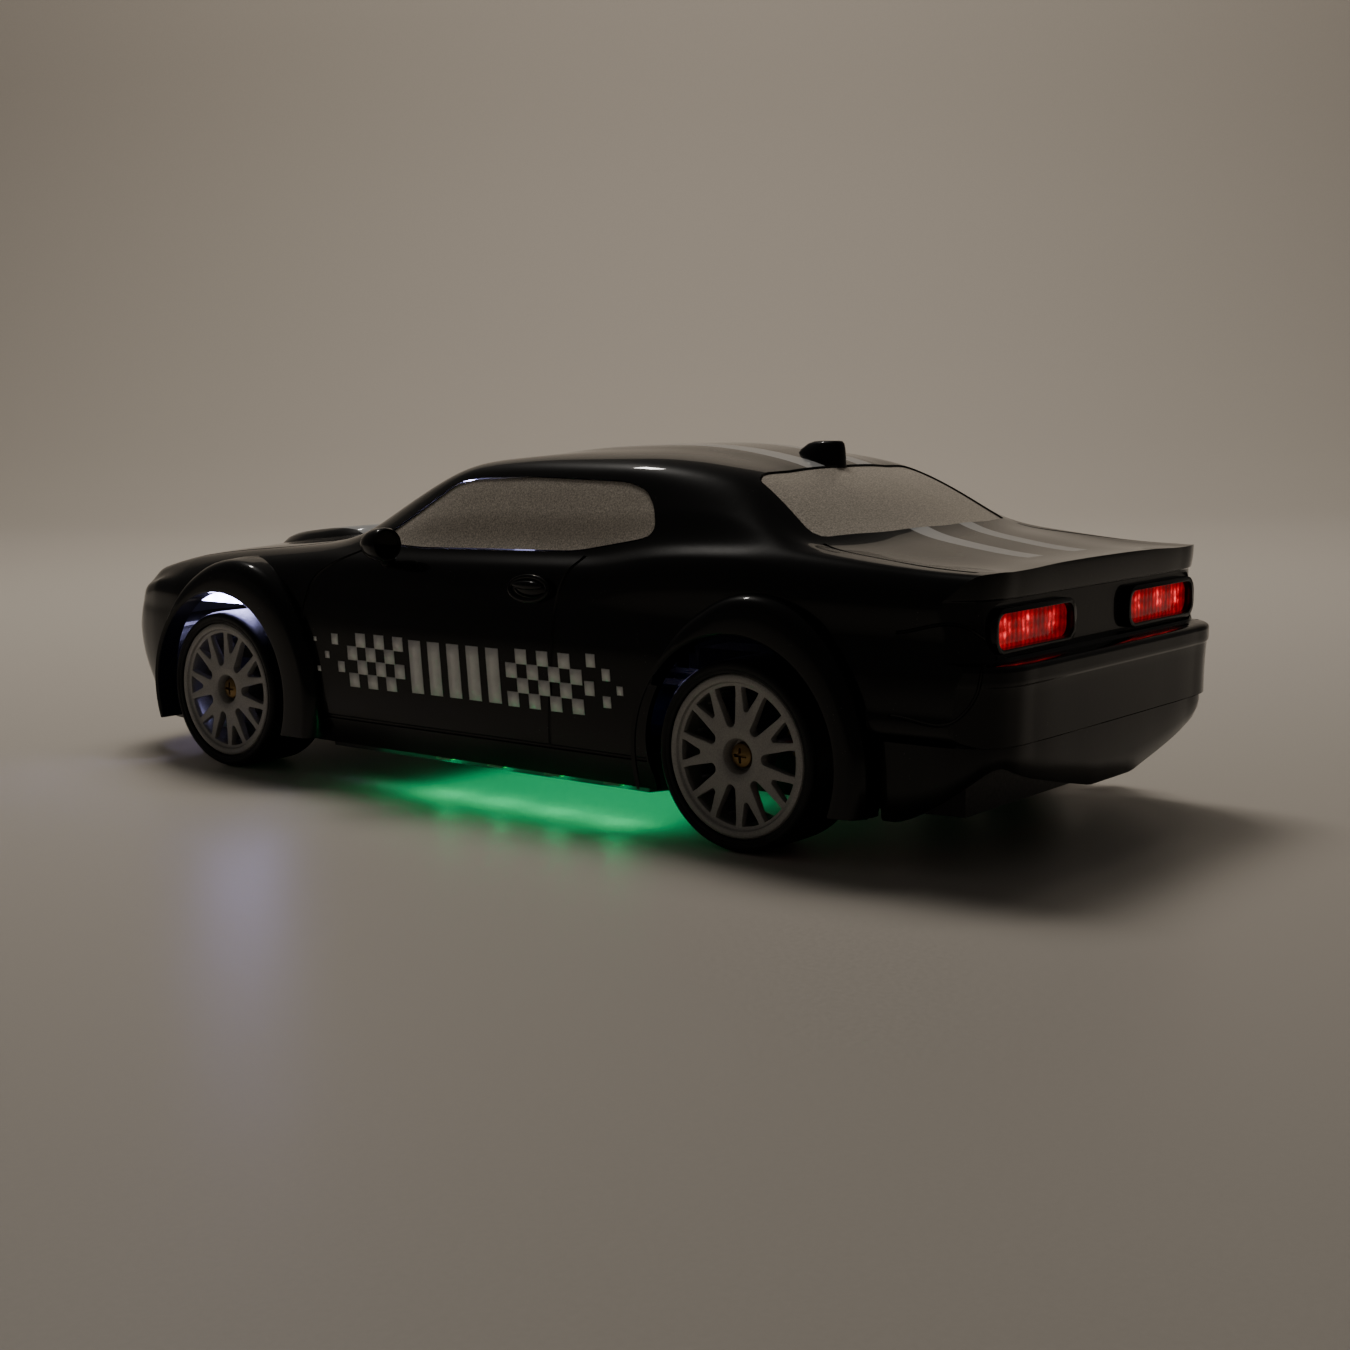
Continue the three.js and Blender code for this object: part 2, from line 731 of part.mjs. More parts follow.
// The slider rests at the off end of its slot and travels 4 mm towards the tail.
function powerSwitch() {
  const body = boxSolid(30.5, 37.5, -7.5, 3.5, FLOOR_Z + 0.4, FLOOR_Z + 1.6);
  const nub = boxSolid(32.6, 35.4, -4, 0, FLOOR_Z - 1, FLOOR_Z + 1);
  return union(body, nub);
}

function circuitBoard() {
  const board = boxSolid(-23, 23, -40, 12, 30, 31.6);
  const chips = [
    boxSolid(-12, -2, -30, -20, 31.2, 33.2),
    boxSolid(4, 16, -34, -26, 31.2, 34),
    boxSolid(6, 12, -6, 6, 31.2, 36),
    boxSolid(-18, -10, -4, 6, 31.2, 34.4),
  ];
  const legs = [-20, 20].flatMap((x) => [-37, 9].map((y) => rod("z", 1.8, FLOOR_Z + FLOOR_T + GAP, 30.4, [x * 1.05, y], 8)));
  return union(board, ...chips, ...legs);
}

function batteryPack() {
  const cells = [-9, 9].flatMap((x) => [rod("y", 8.6, -31, 36, [x, FLOOR_Z + FLOOR_T + 9.2], 14)]);
  const wrap = boxSolid(-9, 9, -31, 36, FLOOR_Z + FLOOR_T + 2.5, FLOOR_Z + FLOOR_T + 15.8);
  return union(...cells, wrap);
}

// ---- Drive train ----
const centreDistance = (a, b) => (MODULE * (a + b)) / 2;
const IDLER_LIFT = 4.1;
const MOTOR_DROP = 2.4;
const idlerRun = centreDistance(IDLER_SMALL_T, AXLE_GEAR_T);
const motorRun = centreDistance(PINION_T, IDLER_BIG_T);
const IDLER = [AXLE_Y - Math.sqrt(idlerRun ** 2 - IDLER_LIFT ** 2), HUB_Z + IDLER_LIFT];
const MOTOR = [IDLER[0] - Math.sqrt(motorRun ** 2 - MOTOR_DROP ** 2), IDLER[1] - MOTOR_DROP];

// A spur gear along X. A tooth centre points at the angle given, measured from +Y towards +Z.
function gear(teeth, boreR, x0, x1, at, angle) {
  const pitch = (MODULE * teeth) / 2;
  const outline = [];
  const step = (2 * Math.PI) / teeth;
  for (let k = 0; k < teeth; k++) {
    const middle = angle + k * step;
    for (const [share, r] of [
      [-0.29, pitch - MODULE],
      [-0.115, pitch + 0.75 * MODULE],
      [0.115, pitch + 0.75 * MODULE],
      [0.29, pitch - MODULE],
    ]) {
      outline.push([at[0] + r * Math.cos(middle + share * step), at[1] + r * Math.sin(middle + share * step)]);
    }
  }
  const wheel = prismX(shapeOf(outline), x0, x1);
  return boreR ? cut(wheel, rod("x", boreR, x0 - 1, x1 + 1, at, 12)) : wheel;
}

const toIdler = Math.atan2(IDLER[1] - HUB_Z, IDLER[0] - AXLE_Y);
const toMotor = Math.atan2(MOTOR[1] - IDLER[1], MOTOR[0] - IDLER[0]);

const axleGear = () => gear(AXLE_GEAR_T, AXLE_R + 0.15, 14.6, 18.6, [AXLE_Y, HUB_Z], toIdler);

function idlerGear() {
  // The small gear shows a gap to the axle gear's tooth, and the big gear a tooth to the pinion's gap.
  const small = gear(IDLER_SMALL_T, 0, 13.6, 19, IDLER, toIdler + Math.PI + Math.PI / IDLER_SMALL_T);
  const big = gear(IDLER_BIG_T, 0, 10.4, 13.8, IDLER, toMotor);
  return cut(union(small, big), rod("x", 1.5, 0, 30, IDLER, 12));
}

function motorPinion() {
  const teeth = gear(PINION_T, 0, 10.6, 14, MOTOR, toMotor + Math.PI + Math.PI / PINION_T);
  return union(teeth, rod("x", 1, 8.4, 15.2, MOTOR, 10));
}

function driveMotor() {
  const can = rod("x", 9.8, -20, 6.6, MOTOR, 24);
  const boss = rod("x", 3, 6.4, 8, MOTOR, 12);
  const tail = rod("x", 3, -22, -19.8, MOTOR, 12);
  const flats = [boxSolid(-30, 5.4, 40, 80, MOTOR[1] + 7.6, 60), boxSolid(-30, 5.4, 40, 80, 0, MOTOR[1] - 7.6)];
  return cut(union(can, boss, tail), ...flats);
}

function gearboxHousing() {
  const bottom = FLOOR_Z + FLOOR_T + GAP;
  const outline = [
    [MOTOR[0] - 11.5, bottom],
    [AXLE_Y + 9, bottom],
    [AXLE_Y + 11.6, HUB_Z + 4],
    [AXLE_Y + 5, HUB_Z + 14],
    [IDLER[0] + 6, 38.6],
    [MOTOR[0] - 11.5, 38.6],
  ];
  const block = prismX(shapeOf(outline), 8.6, 21);
  const cavity = prismX(
    shapeOf([
      [MOTOR[0] - 14, -2],
      [AXLE_Y + 20, -2],
      [AXLE_Y + 20, HUB_Z + 11.4],
      [IDLER[0] + 5, 37.2],
      [MOTOR[0] - 14, 37.2],
    ]),
    10.1,
    19.5,
  );
  return cut(
    block,
    cavity,
    rod("x", AXLE_R + 0.5, 0, 30, [AXLE_Y, HUB_Z], 14),
    rod("x", 1.35, 0, 30, IDLER, 10),
    rod("x", 3.4, 0, 15, MOTOR, 14),
  );
}

const idlerPin = () => rod("x", 1.1, 8.2, 21.4, IDLER, 10);

function rearAxle() {
  const at = [AXLE_Y, HUB_Z];
  const threads = [51, -56].map((from) => rod("x", 1.4, from, from + 5, at, 8));
  return cut(rod("x", AXLE_R, -STUB_X, STUB_X, at, 14), ...threads);
}

function rearBearing(side) {
  const [a, b] = BEARING_X.map((x) => x * side).sort((p, q) => p - q);
  return cut(rod("x", 5, a, b, [AXLE_Y, HUB_Z], 18), rod("x", AXLE_R + 0.25, a - 1, b + 1, [AXLE_Y, HUB_Z], 14));
}

// ---- Steering ----
const ARM_Z = [[11, 13.5], [29, 31.5]];

function frontCarrier() {
  const beams = ARM_Z.map(([z0, z1]) => boxSolid(-49.5, 49.5, -AXLE_Y - 3.6, -AXLE_Y + 3.6, z0, z1));
  const webs = [1, -1].map((side) => {
    const [a, b] = [22.5 * side, 26.5 * side].sort((p, q) => p - q);
    return boxSolid(a, b, -AXLE_Y - 3.6, -AXLE_Y + 3.6, 11, 31.5);
  });
  const bores = [1, -1].map((side) => rod("z", 1.9, 5, 40, [side * KINGPIN_X, -AXLE_Y], 12));
  return cut(union(...beams, ...webs), ...bores);
}

function knuckle() {
  const pin = rod("z", 1.5, 11.2, 31.3, [KINGPIN_X, -AXLE_Y], 12);
  const barrel = rod("z", 3, 13.9, 28.6, [KINGPIN_X, -AXLE_Y], 12);
  const stub = rod("x", AXLE_R, KINGPIN_X, STUB_X, [-AXLE_Y, HUB_Z], 12);
  const arm = boxSolid(KINGPIN_X - 2, KINGPIN_X + 2, -AXLE_Y, -AXLE_Y + STEER_ARM + 2, 20.4, 23.4);
  const trackPin = rod("z", 1.2, 23, 28, [KINGPIN_X, -AXLE_Y + STEER_ARM], 10);
  return cut(union(pin, barrel, stub, arm, trackPin), rod("x", 1.4, 51, 56, [-AXLE_Y, HUB_Z], 8));
}

function tieRod() {
  const y = -AXLE_Y + STEER_ARM;
  const bar = boxSolid(-KINGPIN_X, KINGPIN_X, y - 1.6, y + 1.6, ROD_Z, ROD_Z + 2.2);
  const eyes = [KINGPIN_X, 0, -KINGPIN_X].map((x) => rod("z", 3.3, ROD_Z, ROD_Z + 2.2, [x, y - 0.25], 10));
  const holes = [KINGPIN_X, 0, -KINGPIN_X].map((x) => rod("z", 2.2, 0, 40, [x, y - 0.25], 10));
  return cut(union(bar, ...eyes), ...holes);
}

const HORN_Y = -AXLE_Y + STEER_ARM - HORN_ARM;

function servoHorn() {
  const hub = rod("z", 3.4, 20.5, 24, [0, HORN_Y], 14);
  const arm = boxSolid(-1.8, 1.8, HORN_Y, HORN_Y + HORN_ARM + 1.6, 21.2, 23.6);
  const pin = rod("z", 1.2, 23, 28, [0, HORN_Y + HORN_ARM], 10);
  return union(hub, arm, pin);
}

function steeringServo() {
  const box = boxSolid(-12, 12, HORN_Y - 16, HORN_Y + 4.5, 13.9, 20.2);
  const foot = boxSolid(-10, 10, HORN_Y - 20, HORN_Y - 6, FLOOR_Z + FLOOR_T + GAP, 18);
  return union(box, foot);
}

// ---- Lights ----
const LED_Y = [-10, 8, 27, 46];

// A strip on the outside of the tub, with four lamps at the foot of it that light the ground.
function underglow(side) {
  const strip = boxSolid(49.3, 50.9, -36, 56, 9.8, 13.6);
  const leds = LED_Y.map((y) => boxSolid(50, 52, y - 2.5, y + 2.5, 9.2, 11.4));
  const made = union(strip, ...leds);
  return side > 0 ? geometryOf(made) : mirrored(geometryOf(made));
}

// A lamp block under the fender, with a lens that hangs down to just above the tyre.
function archLamp() {
  const block = boxSolid(47.6, 51.6, -AXLE_Y - 9, -AXLE_Y + 9, 49.4, 52);
  const lens = boxSolid(46.6, 49.6, -AXLE_Y - 24, -AXLE_Y + 1, 43.8, 50);
  return union(block, lens);
}

// ---- Assembly ----
const car = new THREE.Group();

function add(name, shape, material, parent = car) {
  const geometry = shape.isBufferGeometry ? shape : geometryOf(shape);
  const mesh = new THREE.Mesh(geometry, material);
  mesh.name = name;
  parent.add(mesh);
  return mesh;
}

add("body_shell", bodyShell(), gloss);
add("windscreen", glazing(prismZ(shapeOf(inset(WINDSCREEN, GAP)), 61, 100)), frosted);
add("rear_window", glazing(prismZ(shapeOf(inset(REAR_GLASS, GAP)), 62, 100)), frosted);
add("side_window_left", sideGlass(20, 70), frosted);
add("side_window_right", sideGlass(-70, -20), frosted);
add("bonnet_scoop", bonnetScoop(), gloss);
add("roof_fin", roofFin(), gloss);
add("mirror_left", mirror(1), gloss);
add("mirror_right", mirror(-1), gloss);
const handle = geometryOf(doorHandle());
add("door_handle_left", handle, gloss);
add("door_handle_right", mirrored(handle), gloss);
const lamp = geometryOf(tailLamp());
add("tail_lamp_left", lamp, red);
add("tail_lamp_right", mirrored(lamp), red);
add("tail_lamp_board_left", tailLampBoard(1), boardGreen);
add("tail_lamp_board_right", tailLampBoard(-1), boardGreen);
add("front_grille", frontGrille(), satinBlack);
add("headlamp_left", headlamp(1), clear);
add("headlamp_right", headlamp(-1), clear);
add("rear_valance", rearValance(), gloss);

add("chassis", chassis(), satinBlack);
add("battery_hatch", batteryHatch(), satinBlack);
add("hatch_screw", screw(0, HATCH.y1 - 4, 2), steel);
add("battery_pack", batteryPack(), blueWrap);
add("circuit_board", circuitBoard(), boardGreen);
add("power_switch", powerSwitch(), satinBlack);
POSTS.forEach(([x, y], i) => add(`body_screw_${i + 1}`, screw(x, y, 14), steel));

add("drive_motor", driveMotor(), steel);
add("motor_pinion", motorPinion(), brass);
add("idler_gear", idlerGear(), nylon);
add("idler_pin", idlerPin(), steel);
add("axle_gear", axleGear(), nylon);
add("rear_axle", rearAxle(), steel);
add("gearbox_housing", gearboxHousing(), satinBlack);
add("rear_bearing_left", rearBearing(1), brass);
add("rear_bearing_right", rearBearing(-1), brass);

add("steering_servo", steeringServo(), satinBlack);
add("servo_horn", servoHorn(), nylon);
add("tie_rod", tieRod(), satinBlack);
add("front_carrier", frontCarrier(), satinBlack);
const knuckleLeft = geometryOf(knuckle());
add("knuckle_left", knuckleLeft, satinBlack);
add("knuckle_right", mirrored(knuckleLeft), satinBlack);

const tyreGeometry = geometryOf(tyre());
const screwGeometry = geometryOf(hubScrew());
for (const [axle, y, rear] of [
  ["front", -AXLE_Y, false],
  ["rear", AXLE_Y, true],
]) {
  const rimGeometry = geometryOf(rim(rear));
  for (const [side, sign] of [
    ["left", 1],
    ["right", -1],
  ]) {
    const wheel = new THREE.Group();
    wheel.position.set(sign * (WHEEL_OUT_X - WHEEL_W / 2), y, HUB_Z);
    if (sign < 0) wheel.rotation.z = Math.PI;
    add(`${axle}_tyre_${side}`, tyreGeometry, rubber, wheel);
    add(`${axle}_rim_${side}`, rimGeometry, rimGrey, wheel);
    add(`${axle}_hub_screw_${side}`, screwGeometry, brass, wheel);
    car.add(wheel);
  }
}

add("underglow_left", underglow(1), green);
add("underglow_right", underglow(-1), green);
const archLight = geometryOf(archLamp());
add("arch_lamp_left", archLight, clear);
add("arch_lamp_right", mirrored(archLight), clear);

export default car;
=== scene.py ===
"""Looks of the toy remote control car: smooth body shell, glazing, lamps, wheels and decals on the CAD frame.

Lengths in the body are written in millimetres and scaled once, when a mesh is made. +X is the car's left,
the nose points to -Y and +Z is up.
"""
import json
import math

import bmesh
import bpy
import numpy as np
from mathutils import Matrix, Vector
from mathutils.bvhtree import BVHTree


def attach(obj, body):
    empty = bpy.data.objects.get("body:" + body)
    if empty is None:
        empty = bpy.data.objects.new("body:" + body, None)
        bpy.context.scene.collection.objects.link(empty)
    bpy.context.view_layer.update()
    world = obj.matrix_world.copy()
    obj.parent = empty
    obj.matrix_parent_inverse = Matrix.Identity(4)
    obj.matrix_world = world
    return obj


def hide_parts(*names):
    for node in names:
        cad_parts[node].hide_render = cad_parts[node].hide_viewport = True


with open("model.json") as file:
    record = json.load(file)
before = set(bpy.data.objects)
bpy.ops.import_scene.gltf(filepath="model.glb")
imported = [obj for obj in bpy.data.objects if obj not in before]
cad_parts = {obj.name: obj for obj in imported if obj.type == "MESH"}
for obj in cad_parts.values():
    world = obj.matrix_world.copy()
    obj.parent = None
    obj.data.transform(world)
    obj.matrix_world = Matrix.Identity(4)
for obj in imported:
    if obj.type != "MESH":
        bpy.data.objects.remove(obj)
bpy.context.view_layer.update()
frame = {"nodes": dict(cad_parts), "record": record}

MM = 0.001

# ---- Driving dimensions, in millimetres ----
AXLE_Y = 87.5
SIDE_X = 57.0
SHELL_T = 1.6
TAIL_WALL = 3.4
GAP = 0.3
SILL_Z = 10.4
SEAM_Z = 28.0
TYRE_R = 21.3
HUB_Z = TYRE_R
RIM_R = 18.2
WHEEL_W = 20.0
WHEEL_X = 49.5
ARCH_R = 26.8
SPOKE_PAIRS = 7
SLOT_R = 15.5
FLARE_X = 61.0

# ---- Small geometry tools ----


def hermite(t, a, b, slope_a, slope_b):
    """The cubic from a to b with given slopes, for t from 0 to 1."""
    start = (1 + 2 * t) * (1 - t) ** 2 * a + t * (1 - t) ** 2 * slope_a
    return start + t * t * (3 - 2 * t) * b - t * t * (1 - t) * slope_b


def ramp(rows, keys):
    """Monotone cubic look-up in rows of (key, value, ...), one column per value."""
    rows = np.array(rows, float)
    x, ys = rows[:, 0], rows[:, 1:]
    h = np.diff(x)
    d = np.diff(ys, axis=0) / h[:, None]
    m = np.zeros_like(ys)
    w1 = (2 * h[1:] + h[:-1])[:, None]
    w2 = (h[1:] + 2 * h[:-1])[:, None]
    same = d[:-1] * d[1:] > 0
    safe = np.where(same, d[:-1] * d[1:], 1)
    m[1:-1] = np.where(same, (w1 + w2) * safe / (w1 * d[1:] + w2 * d[:-1] + (~same)), 0)
    m[0], m[-1] = d[0], d[-1]
    keys = np.clip(np.asarray(keys, float), x[0], x[-1])
    i = np.clip(np.searchsorted(x, keys, side="right") - 1, 0, len(x) - 2)
    t = ((keys - x[i]) / h[i])[..., None]
    gap = h[i][..., None]
    return hermite(t, ys[i], ys[i + 1], gap * m[i], gap * m[i + 1])


def flow(points, counts):
    """A smooth curve through points (..., k, dims) with counts[j] steps in gap j."""
    p = np.asarray(points, float)
    chord = np.maximum(np.linalg.norm(np.diff(p, axis=-2), axis=-1), 1e-6)
    slope = np.diff(p, axis=-2) / chord[..., None]
    tangent = np.empty_like(p)
    wa, wb = chord[..., 1:, None], chord[..., :-1, None]
    tangent[..., 1:-1, :] = (slope[..., :-1, :] * wa + slope[..., 1:, :] * wb) / (wa + wb)
    tangent[..., 0, :] = slope[..., 0, :]
    tangent[..., -1, :] = slope[..., -1, :]
    out = []
    for j, n in enumerate(counts):
        t = np.linspace(0, 1, n, endpoint=False)[:, None]
        c = chord[..., j, None, None]
        a, b = p[..., j, None, :], p[..., j + 1, None, :]
        out.append(hermite(t, a, b, c * tangent[..., j, None, :], c * tangent[..., j + 1, None, :]))
    out.append(p[..., -1:, :])
    return np.concatenate(out, axis=-2)


def rounded(points, times):
    """Cuts the corners of a closed outline again and again, which rounds them."""
    p = np.asarray(points, float)
    for _ in range(times):
        q = np.roll(p, -1, axis=0)
        p = np.stack([0.8 * p + 0.2 * q, 0.2 * p + 0.8 * q], axis=1).reshape(-1, p.shape[1])
    return p


def inset(points, d):
    """Moves a counterclockwise outline inwards by d."""
    p = np.asarray(points, float)
    a = p - np.roll(p, 1, axis=0)
    b = np.roll(p, -1, axis=0) - p
    a /= np.linalg.norm(a, axis=1)[:, None]
    b /= np.linalg.norm(b, axis=1)[:, None]
    na = np.stack([-a[:, 1], a[:, 0]], 1)
    nb = np.stack([-b[:, 1], b[:, 0]], 1)
    n = na + nb
    n /= np.linalg.norm(n, axis=1)[:, None]
    return p + n * (d / np.maximum((n * na).sum(1), 0.4))[:, None]


def rounded_rect(x0, x1, y0, y1, r, steps=8):
    """A counterclockwise rounded rectangle."""
    out = []
    corners = ((x1 - r, y0 + r, -90), (x1 - r, y1 - r, 0), (x0 + r, y1 - r, 90), (x0 + r, y0 + r, 180))
    for cx, cy, start in corners:
        for k in range(steps + 1):
            a = math.radians(start + 90 * k / steps)
            out.append((cx + r * math.cos(a), cy + r * math.sin(a)))
    return np.array(out)


def turns(n):
    """n angles evenly round a full turn."""
    return np.linspace(0, 2 * math.pi, n, endpoint=False)


def swell(value, power):
    """A power that keeps the sign, which squares off a circle."""
    return math.copysign(abs(value) ** power, value)


def turned_points(points, angle):
    """Turns (a, b) points about their origin."""
    c, s = math.cos(angle), math.sin(angle)
    return [(c * a - s * b, s * a + c * b) for a, b in points]


# ---- Meshes and objects ----


def new_object(name, verts, faces, smooth=True):
    """A mesh object from millimetre points."""
    mesh = bpy.data.meshes.new(name)
    mesh.from_pydata((np.asarray(verts, float) * MM).tolist(), [], [tuple(f) for f in faces])
    mesh.validate()
    bm = bmesh.new()
    bm.from_mesh(mesh)
    bmesh.ops.remove_doubles(bm, verts=bm.verts, dist=1e-7)
    bmesh.ops.recalc_face_normals(bm, faces=bm.faces)
    bm.to_mesh(mesh)
    bm.free()
    obj = bpy.data.objects.new(name, mesh)
    bpy.context.scene.collection.objects.link(obj)
    mesh.polygons.foreach_set("use_smooth", [smooth] * len(mesh.polygons))
    return obj


def skin(index, closed=True):
    """Quads between neighbouring rows of point numbers; closed rows also join their ends."""
    faces = []
    for a, b in zip(index[:-1], index[1:]):
        quads = list(zip(a, np.roll(a, -1), np.roll(b, -1), b))
        faces += quads if closed else quads[:-1]
    return faces


def numbered(rings):
    """Rings of points as one list, and the point numbers ring by ring."""
    rings = np.asarray(rings, float)
    return rings.reshape(-1, 3), np.arange(rings[..., 0].size).reshape(rings.shape[:2])


def rings_object(name, rings):
    """A closed skin through rings of points, with a face at each end."""
    points, index = numbered(rings)
    return new_object(name, points, [*skin(index), tuple(index[0][::-1]), tuple(index[-1])])


def mirror_ring_object(name, rings):
    """Like rings_object, for rings that run from a left foot over the top to the right foot."""
    points, index = numbered(rings)
    faces = skin(index)
    m = index.shape[1]
    for end in (index[0], index[-1]):
        for j in range((m - 1) // 2):
            k = m - 1 - j
            quad = (end[j], end[j + 1], end[k - 1], end[k])
            faces.append(quad if len(set(quad)) == 4 else (end[j], end[j + 1], end[k]))
    return new_object(name, points, faces)


def prism(name, outline, axis, low, high):
    """An outline of (a, b) points made solid along an axis; (a, b) are (y, z), (x, z) or (x, y)."""
    outline = np.asarray(outline, float)
    rings = []
    for value in (low, high):
        third = np.full(len(outline), value)
        a, b = outline[:, 0], outline[:, 1]
        columns = {"x": (third, a, b), "y": (a, third, b), "z": (a, b, third)}[axis]
        rings.append(np.stack(columns, 1))
    return rings_object(name, rings)


def turned(name, profile, segments, centre=(0, 0, 0)):
    """Turns a closed (radius, x) profile about a line along X through centre."""
    rings = [
        [(centre[0] + x, centre[1] + r * math.cos(a), centre[2] + r * math.sin(a)) for r, x in profile]
        for a in turns(segments)
    ]
    points, index = numbered(rings)
    return new_object(name, points, skin(np.vstack([index, index[:1]])))


def tube(name, path, radius, sides=8):
    """A closed tube along a path; radius is one number or one for each point."""
    path = np.asarray(path, float)
    radius = np.broadcast_to(radius, len(path))
    tangent = np.gradient(path, axis=0)
    tangent /= np.linalg.norm(tangent, axis=1)[:, None]
    normal = np.cross(tangent[0], (0.31, 0.17, 0.93))
    rings = []
    for p, t, r in zip(path, tangent, radius):
        normal = normal - t * normal.dot(t)
        normal /= np.linalg.norm(normal)
        side = np.cross(t, normal)
        a = turns(sides)[:, None]
        rings.append(p + r * (np.cos(a) * normal + np.sin(a) * side))
    return rings_object(name, rings)


def boolean(obj, tools, operation="DIFFERENCE"):
    """Applies boolean tools to obj one after the other and removes them."""
    for tool in tools:
        step = obj.modifiers.new("cut", "BOOLEAN")
        step.object = tool
        step.operation = operation
        step.solver = "MANIFOLD"
    apply_modifiers(obj)
    for tool in tools:
        bpy.data.objects.remove(tool)
    return obj


def apply_modifiers(obj):
    """Makes the modified shape the object's own mesh."""
    graph = bpy.context.evaluated_depsgraph_get()
    mesh = bpy.data.meshes.new_from_object(obj.evaluated_get(graph))
    obj.modifiers.clear()
    old = obj.data
    obj.data = mesh
    mesh.name = obj.name
    bpy.data.meshes.remove(old)


def sharpen(obj, degrees=32):
    """Smooth shading that breaks at edges steeper than the angle."""
    bm = bmesh.new()
    bm.from_mesh(obj.data)
    limit = math.radians(degrees)
    for face in bm.faces:
        face.smooth = True
    for edge in bm.edges:
        if len(edge.link_faces) == 2:
            edge.smooth = edge.calc_face_angle(0) < limit
    bm.to_mesh(obj.data)
    bm.free()
    return obj


def bevel(obj, width, segments=2, degrees=40):
    """Rounds the edges that are steeper than the angle."""
    step = obj.modifiers.new("bevel", "BEVEL")
    step.width = width * MM
    step.segments = segments
    step.limit_method = "ANGLE"
    step.angle_limit = math.radians(degrees)
    apply_modifiers(obj)
    return obj


def join(objects, name):
    """Joins mesh objects into one."""
    bm = bmesh.new()
    for obj in objects:
        obj.data.transform(obj.matrix_world)
        bm.from_mesh(obj.data)
    mesh = bpy.data.meshes.new(name)
    bm.to_mesh(mesh)
    bm.free()
    for obj in objects:
        bpy.data.objects.remove(obj)
    out = bpy.data.objects.new(name, mesh)
    bpy.context.scene.collection.objects.link(out)
    return out


def mirrored(obj, name):
    """A copy on the other side of the car."""
    mesh = obj.data.copy()
    mesh.name = name
    mesh.transform(Matrix.Diagonal((-1, 1, 1, 1)))
    mesh.flip_normals()
    out = bpy.data.objects.new(name, mesh)
    bpy.context.scene.collection.objects.link(out)
    return out


def fit(obj, body, slot, *replaces, look=None):
    """Gives a finished piece the material of its slot or look, puts it on its body and hides the CAD nodes
    that it stands for.
    """
    obj.data.materials.clear()
    obj.data.materials.append(LOOKS[look or slot])
    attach(obj, body)
    if replaces:
        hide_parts(*replaces)
    return obj


def fit_pair(left, right_name, slot, *replaces):
    """Fits a left piece and its mirrored copy; the CAD nodes end in _left and _right."""
    fit(left, "car", slot, *(f"{node}_left" for node in replaces))
    fit(mirrored(left, right_name), "car", slot, *(f"{node}_right" for node in replaces))


# ---- Materials ----


